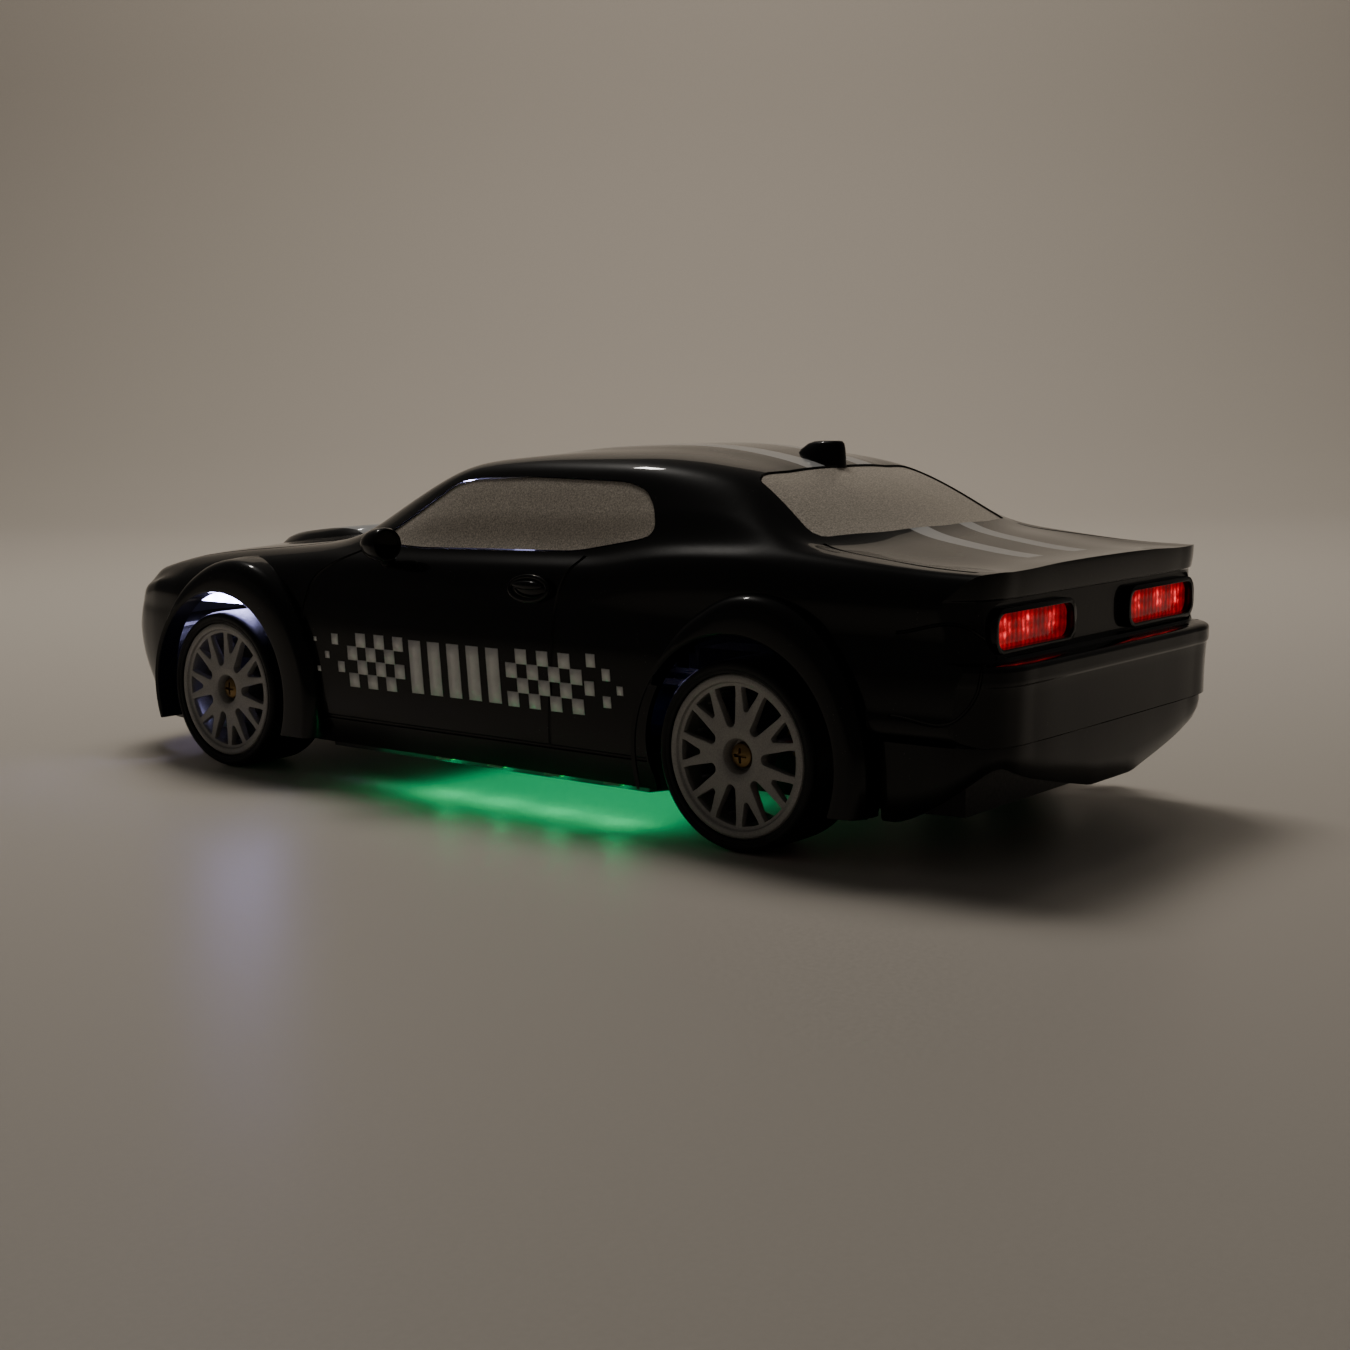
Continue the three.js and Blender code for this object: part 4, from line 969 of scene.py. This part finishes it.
def make_shell():
    """The outside skin with its seams, flares, arches and windows, and a tree of its plain surface."""
    shell = body_solid("body_shell_skin")
    tree = BVHTree.FromObject(shell, bpy.context.evaluated_depsgraph_get())
    flares = []
    for side in (1, -1):
        flares += [flare(AXLE_Y, 4.0, 29.5, side), flare(-AXLE_Y, 5.0, 32.5, side)]
    boolean(shell, groove_tools(tree))
    boolean(shell, flares, "UNION")
    boolean(shell, [body_solid("hollow", SHELL_T, 4.0, 3, inner=True)])
    cuts = arch_cutters()
    cuts.append(prism("side", opening(SIDE_GLASS), "x", -70, 70))
    cuts.append(prism("screen", opening(WINDSCREEN), "z", 61, 100))
    cuts.append(prism("rear", opening(REAR_GLASS), "z", 62, 100))
    boolean(shell, cuts)
    return shell, tree


def tail_pocket(shell):
    """The long recess of the tail panel and the two deeper lamp openings in it."""
    tools = [prism("panel", rounded_rect(-48.3, 48.3, 45.6, 56.8, 4.6), "y", 142.8, 160)]
    for side in (1, -1):
        x0, x1 = sorted((side * 12.9, side * 46.7))
        tools.append(prism("opening", rounded_rect(x0, x1, 46.4, 55.4, 3.4), "y", 134, 160))
    boolean(shell, tools)


def nose_pocket(shell):
    """The wide recess of the grille."""
    boolean(shell, [prism("grille", rounded_rect(-40, 40, 36, 48, 4), "y", -160, -138)])


def glazing(name, outline, axis, low, high, node):
    """A pane that lies just under flush in its opening."""
    pane = body_solid(name, 0.45, 1.4)
    boolean(pane, [body_solid("under", 1.5, 2.0, 2, inner=True)])
    boolean(pane, [prism("window", opening(outline, 0.35), axis, low, high)], "INTERSECT")
    fit(sharpen(pane), "car", "frosted_glazing", node)


# ---- Decals ----


def patch(tree, corners, direction, cells):
    """A small four-sided sticker on the body, as a grid that follows the surface."""
    a, b, c, d = (np.array(p, float) for p in corners)
    rows = []
    for u in np.linspace(0, 1, cells[0] + 1):
        low, high = a * (1 - u) + b * u, d * (1 - u) + c * u
        rows.append([low * (1 - v) + high * v for v in np.linspace(0, 1, cells[1] + 1)])
    points, index = numbered(rows)
    quads = np.array(skin(index, False))[:, [0, 3, 2, 1]]
    return conform(tree, points, direction, 0.05), quads


SQUARE, LEAN, DECAL_Z = 3.45, 0.10, 33.0
FLAGS = ((-38.6, 6), (17.6, 7))  # where each chequer starts, and its columns
# Single squares beyond the flags: y, z and width.
SPECKS = (
    (-42.6, 29.6, 2.4), (-44.4, 36.6, 2.4), (-47.4, 32.8, 1.6), (-50.8, 29.2, 1.2), (-51.4, 37.0, 1.0),
    (42.6, 30.8, 2.9), (43.6, 37.4, 2.7), (48.2, 34.6, 2.4), (48.0, 28.4, 2.3), (52.4, 31.6, 1.8),
)


def decal_quads():
    """The four corners of every square and bar, leaning a little forwards."""
    boxes = []
    side = SQUARE * 1.04
    for start, columns in FLAGS:
        for i in range(columns):
            for j in range(i % 2, 4, 2):
                boxes.append((start + i * SQUARE, DECAL_Z - 2 * SQUARE + j * SQUARE, side, side))
    boxes += [(y, z, w, w * 1.15) for y, z, w in SPECKS]
    boxes += [(-15.6 + k * 6.7, 26.4, 4.2, 13.2) for k in range(5)]
    quads = []
    for y, z, w, h in boxes:
        corners = ((y, z), (y + w, z), (y + w, z + h), (y, z + h))
        quads.append([(a - LEAN * (b - DECAL_Z), b) for a, b in corners])
    return quads


def side_decal(name, tree, side):
    """Two chequered flags with slanted bars between them, scattering into single squares at the ends."""
    verts, faces = [], []
    for corners in decal_quads():
        flat = [(side * 62, y, z) for y, z in corners]
        cells = (2, 2) if abs(corners[0][1] - corners[2][1]) < 5 else (2, 5)
        points, squares = patch(tree, flat, (-side, 0, 0), cells)
        faces += (squares + len(verts)).tolist()
        verts += points
    decal = new_object(name, verts, faces)
    thick = decal.modifiers.new("thick", "SOLIDIFY")
    thick.thickness = 0.12 * MM
    thick.offset = 0
    apply_modifiers(decal)
    fit(decal, "car", "rim_grey", look="decal")


# ---- Wheels ----


def slot_outline(start, half_in, half_out, angle):
    """A spoke window: round at the hub end, wider and gently rounded at the ring."""
    sweep = np.radians(np.linspace(90, -90, 7))
    hub_end = [(start + half_in * (1 - math.cos(a)), half_in * math.sin(a)) for a in sweep]
    ring_end = [(math.sqrt(SLOT_R**2 - t * t), t) for t in np.linspace(-half_out, half_out, 7)]
    return turned_points(rounded(hub_end + ring_end, 1), angle)


def on_axle(obj, centre, side):
    """Moves a wheel piece from the origin to its axle, facing outwards."""
    turn = Matrix.Rotation(math.pi if side < 0 else 0, 4, "Z")
    obj.data.transform(Matrix.Translation(Vector(centre) * MM) @ turn)
    return obj


def make_rim(name, centre, side):
    """Seven pairs of spokes in a ring, with a dished hub and a deep finned barrel behind."""
    face = WHEEL_W / 2 - 0.6
    back = -WHEEL_W / 2 + 0.4
    profile = [
        (2.3, 0.5), (5.0, 0.5), (5.4, face - 3.2), (15.6, face - 2.5), (15.9, face - 6),
        (RIM_R - 1.5, back + 1), (RIM_R - 1.2, back), (RIM_R, back), (RIM_R, face - 0.5),
        (RIM_R - 0.35, face - 0.1), (RIM_R - 0.8, face), (16.9, face), (16.5, face - 0.15),
        (16.2, face - 0.75), (15.6, face - 0.95), (9, face - 0.75), (6.2, face - 0.55), (4.6, face - 0.6),
        (4.0, face - 0.9), (3.6, face - 1.6), (3.6, face - 4), (2.3, face - 4),
    ]
    rim = turned(name, profile, 112)
    slots = []
    for pair in range(SPOKE_PAIRS):
        for outline, share in (((6.5, 1.3, 3.05), 0), ((10.2, 0.75, 2.55), 0.5)):
            angle = 2 * math.pi * (pair + share) / SPOKE_PAIRS
            slots.append(prism("slot", slot_outline(*outline, angle), "x", 0.9, 12))
    boolean(rim, slots)
    bevel(rim, 0.28, 2, 45)
    sharpen(rim, 30)
    fin = [(15.75, -0.35), (16.4, -0.35), (16.4, 0.35), (15.75, 0.35)]
    fins = [prism("fin", turned_points(fin, a), "x", -4.5, 2.6) for a in turns(28)]
    return on_axle(join([rim, *fins], name), centre, side)


def make_tyre(name, centre):
    """A low smooth tyre with rounded shoulders and a bead step on each wall."""
    half = WHEEL_W / 2
    inner = RIM_R + 0.1
    wall = [
        (inner, half - 1.4), (inner + 0.1, half - 0.5), (inner + 0.45, half - 0.28),
        (inner + 0.85, half - 0.34), (inner + 1.0, half - 0.2), (inner + 1.5, half - 0.06),
        (TYRE_R - 1.0, half - 0.12), (TYRE_R - 0.62, half - 0.4), (TYRE_R - 0.32, half - 0.85),
        (TYRE_R - 0.12, half - 1.5), (TYRE_R - 0.02, half - 2.4), (TYRE_R, half - 3.6),
    ]
    profile = wall + [(r, -x) for r, x in reversed(wall)]
    tyre = turned(name, profile, 140, centre)
    return sharpen(tyre, 42)


def make_hub_screw(name, centre, side):
    """A brass cross-head screw in the hub."""
    profile = [
        (0.01, 2), (1.1, 2), (1.1, 5.6), (2.7, 5.6), (2.9, 5.8), (2.9, 6.6), (2.6, 7.2), (1.8, 7.6),
        (0.01, 7.75),
    ]
    screw = turned(name, profile, 40)
    arms = ((1.7, 0.36), (0.36, 1.7))
    boolean(screw, [prism("cut", rounded_rect(-a, a, -b, b, 0.1, 2), "x", 6.7, 9) for a, b in arms])
    return on_axle(sharpen(screw), centre, side)


WHEELS = [
    ("front", "left", 1, -AXLE_Y, "front_left_wheel"),
    ("front", "right", -1, -AXLE_Y, "front_right_wheel"),
    ("rear", "left", 1, AXLE_Y, "rear_axle_set"),
    ("rear", "right", -1, AXLE_Y, "rear_axle_set"),
]


def make_wheels():
    """A rim, a tyre and a hub screw for each wheel, riding on its own body."""
    for axle, name, side, y, body in WHEELS:
        centre = (side * WHEEL_X, y, HUB_Z)
        tag = f"{axle}_{name}"
        fit(make_rim(f"rim_{tag}", centre, side), body, "rim_grey", f"{axle}_rim_{name}")
        fit(make_tyre(f"tyre_{tag}", centre), body, "tyre_rubber", f"{axle}_tyre_{name}")
        fit(make_hub_screw(f"hub_screw_{tag}", centre, side), body, "brass", f"{axle}_hub_screw_{name}")


# ---- Trim ----


def ellipsoid(name, centre, radii, rings=24, sides=40):
    """An ellipsoid with its poles along Y."""
    points = []
    for i in range(rings + 1):
        a = math.pi * (i + 0.02) / (rings + 0.04) - math.pi / 2
        offsets = [(math.cos(a) * math.cos(b), math.sin(a), math.cos(a) * math.sin(b)) for b in turns(sides)]
        points.append(np.array(centre) + np.array(radii) * offsets)
    return rings_object(name, points)


MIRROR = (58.0, -23.2, 63.2)
MIRROR_PROFILE = [  # place along the car and radius, from the round back to the glass
    (-6.8, 0.7), (-6.5, 1.7), (-5.7, 2.8), (-4.2, 3.9), (-2.2, 4.7), (0, 5.0), (1.3, 4.95), (1.8, 4.65),
    (1.7, 4.2), (1.2, 4.0),
]
MIRROR_STALK = [(51.6, -26.6, 57.6), (53.2, -26.4, 58.6), (55.2, -26.0, 60.2), (57.0, -25.6, 61.8)]


def make_mirrors():
    """A round-backed mirror on a short stalk, with the glass facing the tail."""
    mx, my, mz = MIRROR
    rings = [
        [(mx + 0.25 * y / 9 + 0.98 * r * math.cos(a), my + y, mz + 0.86 * r * math.sin(a)) for a in turns(48)]
        for y, r in MIRROR_PROFILE
    ]
    head = rings_object("mirror_left_shell", rings)
    path = flow(np.array(MIRROR_STALK), [6, 6, 6])
    boolean(head, [tube("stalk", path, np.linspace(2.3, 1.7, len(path)), 16)], "UNION")
    fit_pair(sharpen(head, 50), "mirror_right_shell", "body_gloss", "mirror")


HANDLE = (57.1, 25.2, 54.6)
HANDLE_HALF = (6.1, 2.75)  # half length and half height of the bowl's rim


def make_handles():
    """A flush oval bowl with a raised rim and a lever across its upper half."""
    x, y, z = HANDLE
    long, high = HANDLE_HALF
    rings = []
    for a in turns(72):
        middle = np.array([x - 0.48 * math.sin(a) - 0.2, y + long * math.cos(a), z + high * math.sin(a)])
        out = np.array([0, high * math.cos(a), long * math.sin(a)])
        out /= np.linalg.norm(out)
        proud = np.array([0.8, 0, 0])
        rings.append([middle + 0.62 * (math.cos(b) * out + math.sin(b) * proud) for b in turns(12)])
    points, index = numbered(rings)
    rim = new_object("handle_rim", points, skin(np.vstack([index, index[:1]])))
    bowl = ellipsoid("bowl", (x - 1.4, y, z), (1.5, 5.8, 2.5))
    lever = ellipsoid("lever", (x - 0.15, y - 0.4, z + 0.75), (0.95, 4.9, 1.15))
    left = join([rim, bowl, lever], "door_handle_left_lever")
    fit_pair(sharpen(left, 60), "door_handle_right_lever", "body_gloss", "door_handle")


FIN_LEVELS = [  # height, front, back and half width
    (82.0, 61.0, 76.0, 3.0), (84.4, 62.2, 75.9, 2.9), (86.2, 63.8, 75.8, 2.6), (87.5, 65.8, 75.6, 2.2),
    (88.1, 67.6, 75.2, 1.7), (88.25, 69.5, 74.4, 1.1),
]


def make_fin():
    """A small roof fin with a sloped front and an upright back."""
    rings = []
    for z, y0, y1, w in FIN_LEVELS:
        ring = []
        for a in turns(40):
            u = 0.5 + 0.5 * swell(math.cos(a), 0.55)
            blunt = 0.45 + 0.55 * min(1.0, u * 2.2)
            ring.append((w * swell(math.sin(a), 0.6) * blunt, y0 + (y1 - y0) * u, z))
        rings.append(ring)
    fit(sharpen(rings_object("roof_fin_cap", rings), 48), "car", "body_gloss", "roof_fin")


SCOOP_Y, SCOOP_HALF = -97, (18, 23)
SCOOP_LEVELS = ((0.0, -3.0), (0.0, 0.0), (0.35, 1.5), (0.7, 2.2), (0.9, 2.48), (1.0, 2.55))  # taper, height
WELL_Y, WELL_HALF = -98, (11.5, 14)
WELL_LEVELS = ((0.86, 60.9), (0.96, 61.2), (1.0, 61.8), (1.06, 66))  # share of the size, height


def make_scoop():
    """A low bulge on the bonnet with an oval well in its top."""
    rings = []
    for level, lift in SCOOP_LEVELS:
        rx, ry = SCOOP_HALF[0] - 4.6 * level, SCOOP_HALF[1] - 5.2 * level
        ring = []
        for a in turns(96):
            x, y = rx * swell(math.sin(a), 0.72), SCOOP_Y + ry * swell(math.cos(a), 0.72)
            bonnet = float(ramp(SECTIONS, np.array([y]))[0, 5]) - 0.35 * (abs(x) / SCOOP_HALF[0]) ** 2
            ring.append((x, y, bonnet + lift))
        rings.append(ring)
    scoop = rings_object("bonnet_scoop_bulge", rings)
    rx, ry = WELL_HALF
    well = [
        [(r * rx * swell(math.sin(a), 0.8), WELL_Y + r * ry * swell(math.cos(a), 0.8), z) for a in turns(72)]
        for r, z in WELL_LEVELS
    ]
    boolean(scoop, [rings_object("well", well)])
    fit(sharpen(scoop, 38), "car", "body_gloss", "bonnet_scoop", look="striped")


def make_tail_lamps():
    """Tail lenses deep in black bezels."""
    for name, side in (("left", 1), ("right", -1)):
        x0, x1 = sorted((side * 13.4, side * 46.2))
        lens = prism(f"tail_lens_{name}", rounded_rect(x0, x1, 47.0, 54.8, 2.8), "y", 141.4, 142.9)
        fit(sharpen(bevel(lens, 0.5, 3), 40), "car", "red_lens", f"tail_lamp_{name}")
        x0, x1 = sorted((side * 12.6, side * 47.1))
        bezel = prism(f"tail_bezel_{name}", rounded_rect(x0, x1, 46.1, 55.7, 3.7), "y", 140.4, 144.7)
        boolean(bezel, [prism("hole", rounded_rect(x0 + 1.1, x1 - 1.1, 47.2, 54.6, 2.6), "y", 130, 160)])
        fit(sharpen(bevel(bezel, 0.25), 40), "car", "body_gloss")


VALANCE_PLAN = [
    (54.3, 121.6), (54.2, 130), (53.2, 138.6), (50.6, 144.2), (45.5, 147.4), (36, 148.3), (18, 148.6),
    (0, 148.7),
]
VALANCE_LOW = 10.6
VALANCE_REAR_LOW = [(0, 14.3), (10, 14.3), (22, 16.7), (36, 19.8), (48, 23.7), (60, 25.5)]  # |x|, lower edge


def make_valance():
    """The lower rear bumper: wraps round the tail and rises from the wheels to the corners."""
    plan = flow(np.array(VALANCE_PLAN), [8] * (len(VALANCE_PLAN) - 1))
    plan = np.vstack([plan, plan[-2::-1] * (-1, 1)])
    tangent = np.gradient(plan, axis=0)
    normal = np.stack([tangent[:, 1], -tangent[:, 0]], 1)
    normal /= np.linalg.norm(normal, axis=1)[:, None]
    if normal[len(normal) // 2][1] < 0:
        normal = -normal
    top = SEAM_Z - GAP
    rings = []
    for (x, y), (nx, ny) in zip(plan, normal):
        share = np.clip((y - 124) / 23.0, 0, 1) ** 1.5
        low = VALANCE_LOW + (np.interp(abs(x), *zip(*VALANCE_REAR_LOW)) - VALANCE_LOW) * share
        levels = [
            (0.0, top), (0.05, 0.72 * top + 0.28 * low), (-0.25, 0.4 * top + 0.6 * low), (-0.9, low + 0.6),
            (-1.4, low), (-2.2, low), (-2.2, top),
        ]
        rings.append([(x + d * nx, y + d * ny, z) for d, z in levels])
    fit(sharpen(rings_object("rear_valance_wrap", rings), 40), "car", "body_gloss", "rear_valance")


# ---- Carried-over CAD nodes ----


def dress_frame():
    """Every CAD node gets the material of its slot; those that a piece replaces aren't shown."""
    for part in frame["record"]["subparts"]:
        node = frame["nodes"][part["node"]]
        node.data.materials.clear()
        node.data.materials.append(LOOKS[part["material_slot"]])


# ---- Stage, light and camera ----


AZIMUTH, ELEVATION, ROLL = 128.9794, 7.9462, -0.5593
CAMERA_MM = (388.597, 337.783, 97.171)
LENS_MM = 51.65
# The floor's rise into the far wall: distance away from the camera's side, height.
SWEEP = [
    (-1600, 0), (-500, 0), (500, 0), (900, 0), (1250, 25), (1500, 130), (1640, 330), (1680, 600),
    (1690, 1100),
]


def make_stage():
    """A pale floor that sweeps up into a wall on the far side of the camera."""
    away = -Vector((math.sin(math.radians(AZIMUTH)), -math.cos(math.radians(AZIMUTH)), 0))
    across = Vector((-away.y, away.x, 0))
    profile = flow(np.array(SWEEP, float), [4, 4, 4, 8, 8, 8, 6, 4])
    rings = []
    for u in np.linspace(-2400, 2400, 25):
        rings.append([tuple(away * d + across * u + Vector((0, 0, z))) for d, z in profile])
    points, index = numbered(rings)
    floor = new_object("floor", points, skin(index, False))
    look = Look("floor", IOR=1.45, Specular_IOR_Level=0.35)
    grain = look.noise(900, 2)
    look.tint(grain, (0.44, 0.405, 0.36), (0.50, 0.46, 0.41))
    look.rough(grain, 0.36, 0.46)
    look.bump(look.noise(2400, 2), 0.05, 0.0001)
    floor.data.materials.append(look.material)


def area_light(name, place_mm, target_mm, size_mm, power, colour=(1.0, 0.95, 0.88)):
    """A rectangular lamp at a place, aimed at a target."""
    data = bpy.data.lights.new(name, "AREA")
    data.shape = "RECTANGLE"
    data.size, data.size_y = size_mm[0] * MM, size_mm[1] * MM
    data.energy = power
    data.color = colour
    light = bpy.data.objects.new(name, data)
    light.location = Vector(place_mm) * MM
    light.rotation_euler = (Vector(target_mm) - Vector(place_mm)).to_track_quat("-Z", "Y").to_euler()
    bpy.context.scene.collection.objects.link(light)
    return light


def make_light():
    """A soft key that shows in no reflection, a glint for the highlights, the green pool and a wall wash."""
    world = bpy.data.worlds.new("studio")
    bpy.context.scene.world = world
    world.use_nodes = True
    background = world.node_tree.nodes["Background"]
    background.inputs["Color"].default_value = (0.42, 0.39, 0.36, 1)
    background.inputs["Strength"].default_value = 0.12
    key = area_light("key", (-260, -400, 1050), (0, 0, 0), (420, 340), 5.4)
    key.visible_glossy = False
    glint = area_light("glint", (-220, -640, 950), (0, 0, 0), (75, 55), 0.9)
    glint.visible_diffuse = False
    for x in (30, -30):
        pool = area_light("pool", (x, 18, 7.2), (x, 18, 0), (44, 84), 0.013, (0.0, 1.0, 0.36))
        pool.visible_glossy = False
    wall = area_light("wall", (-500, -300, 1300), (-1300, -1060, 300), (900, 500), 12.0, (1.0, 0.93, 0.84))
    wall.visible_glossy = False


def make_camera():
    """The camera, turned to its azimuth, elevation and roll."""
    a, e, r = (math.radians(v) for v in (AZIMUTH, ELEVATION, ROLL))
    back = Vector((math.sin(a) * math.cos(e), -math.cos(a) * math.cos(e), math.sin(e)))
    right = Vector((0, 0, 1)).cross(back).normalized()
    up = back.cross(right)
    right, up = right * math.cos(r) + up * math.sin(r), up * math.cos(r) - right * math.sin(r)
    data = bpy.data.cameras.new("camera")
    data.sensor_width = 36
    data.lens = LENS_MM
    data.clip_start = 0.01
    camera = bpy.data.objects.new("camera", data)
    turn = Matrix((right, up, back)).transposed().to_4x4()
    camera.matrix_world = Matrix.Translation(Vector(CAMERA_MM) * MM) @ turn
    bpy.context.scene.collection.objects.link(camera)
    bpy.context.scene.camera = camera


make_camera()
make_light()
make_stage()
dress_frame()
shell, body_tree = make_shell()
tail_pocket(shell)
nose_pocket(shell)
fit(sharpen(shell, 30), "car", "body_gloss", "body_shell", look="striped")
glazing("windscreen_pane", WINDSCREEN, "z", 61, 100, "windscreen")
glazing("rear_pane", REAR_GLASS, "z", 62, 100, "rear_window")
glazing("side_pane_left", SIDE_GLASS, "x", 20, 70, "side_window_left")
glazing("side_pane_right", SIDE_GLASS, "x", -70, -20, "side_window_right")
side_decal("side_decal_left", body_tree, 1)
side_decal("side_decal_right", body_tree, -1)
make_wheels()
make_mirrors()
make_handles()
make_fin()
make_scoop()
make_tail_lamps()
make_valance()
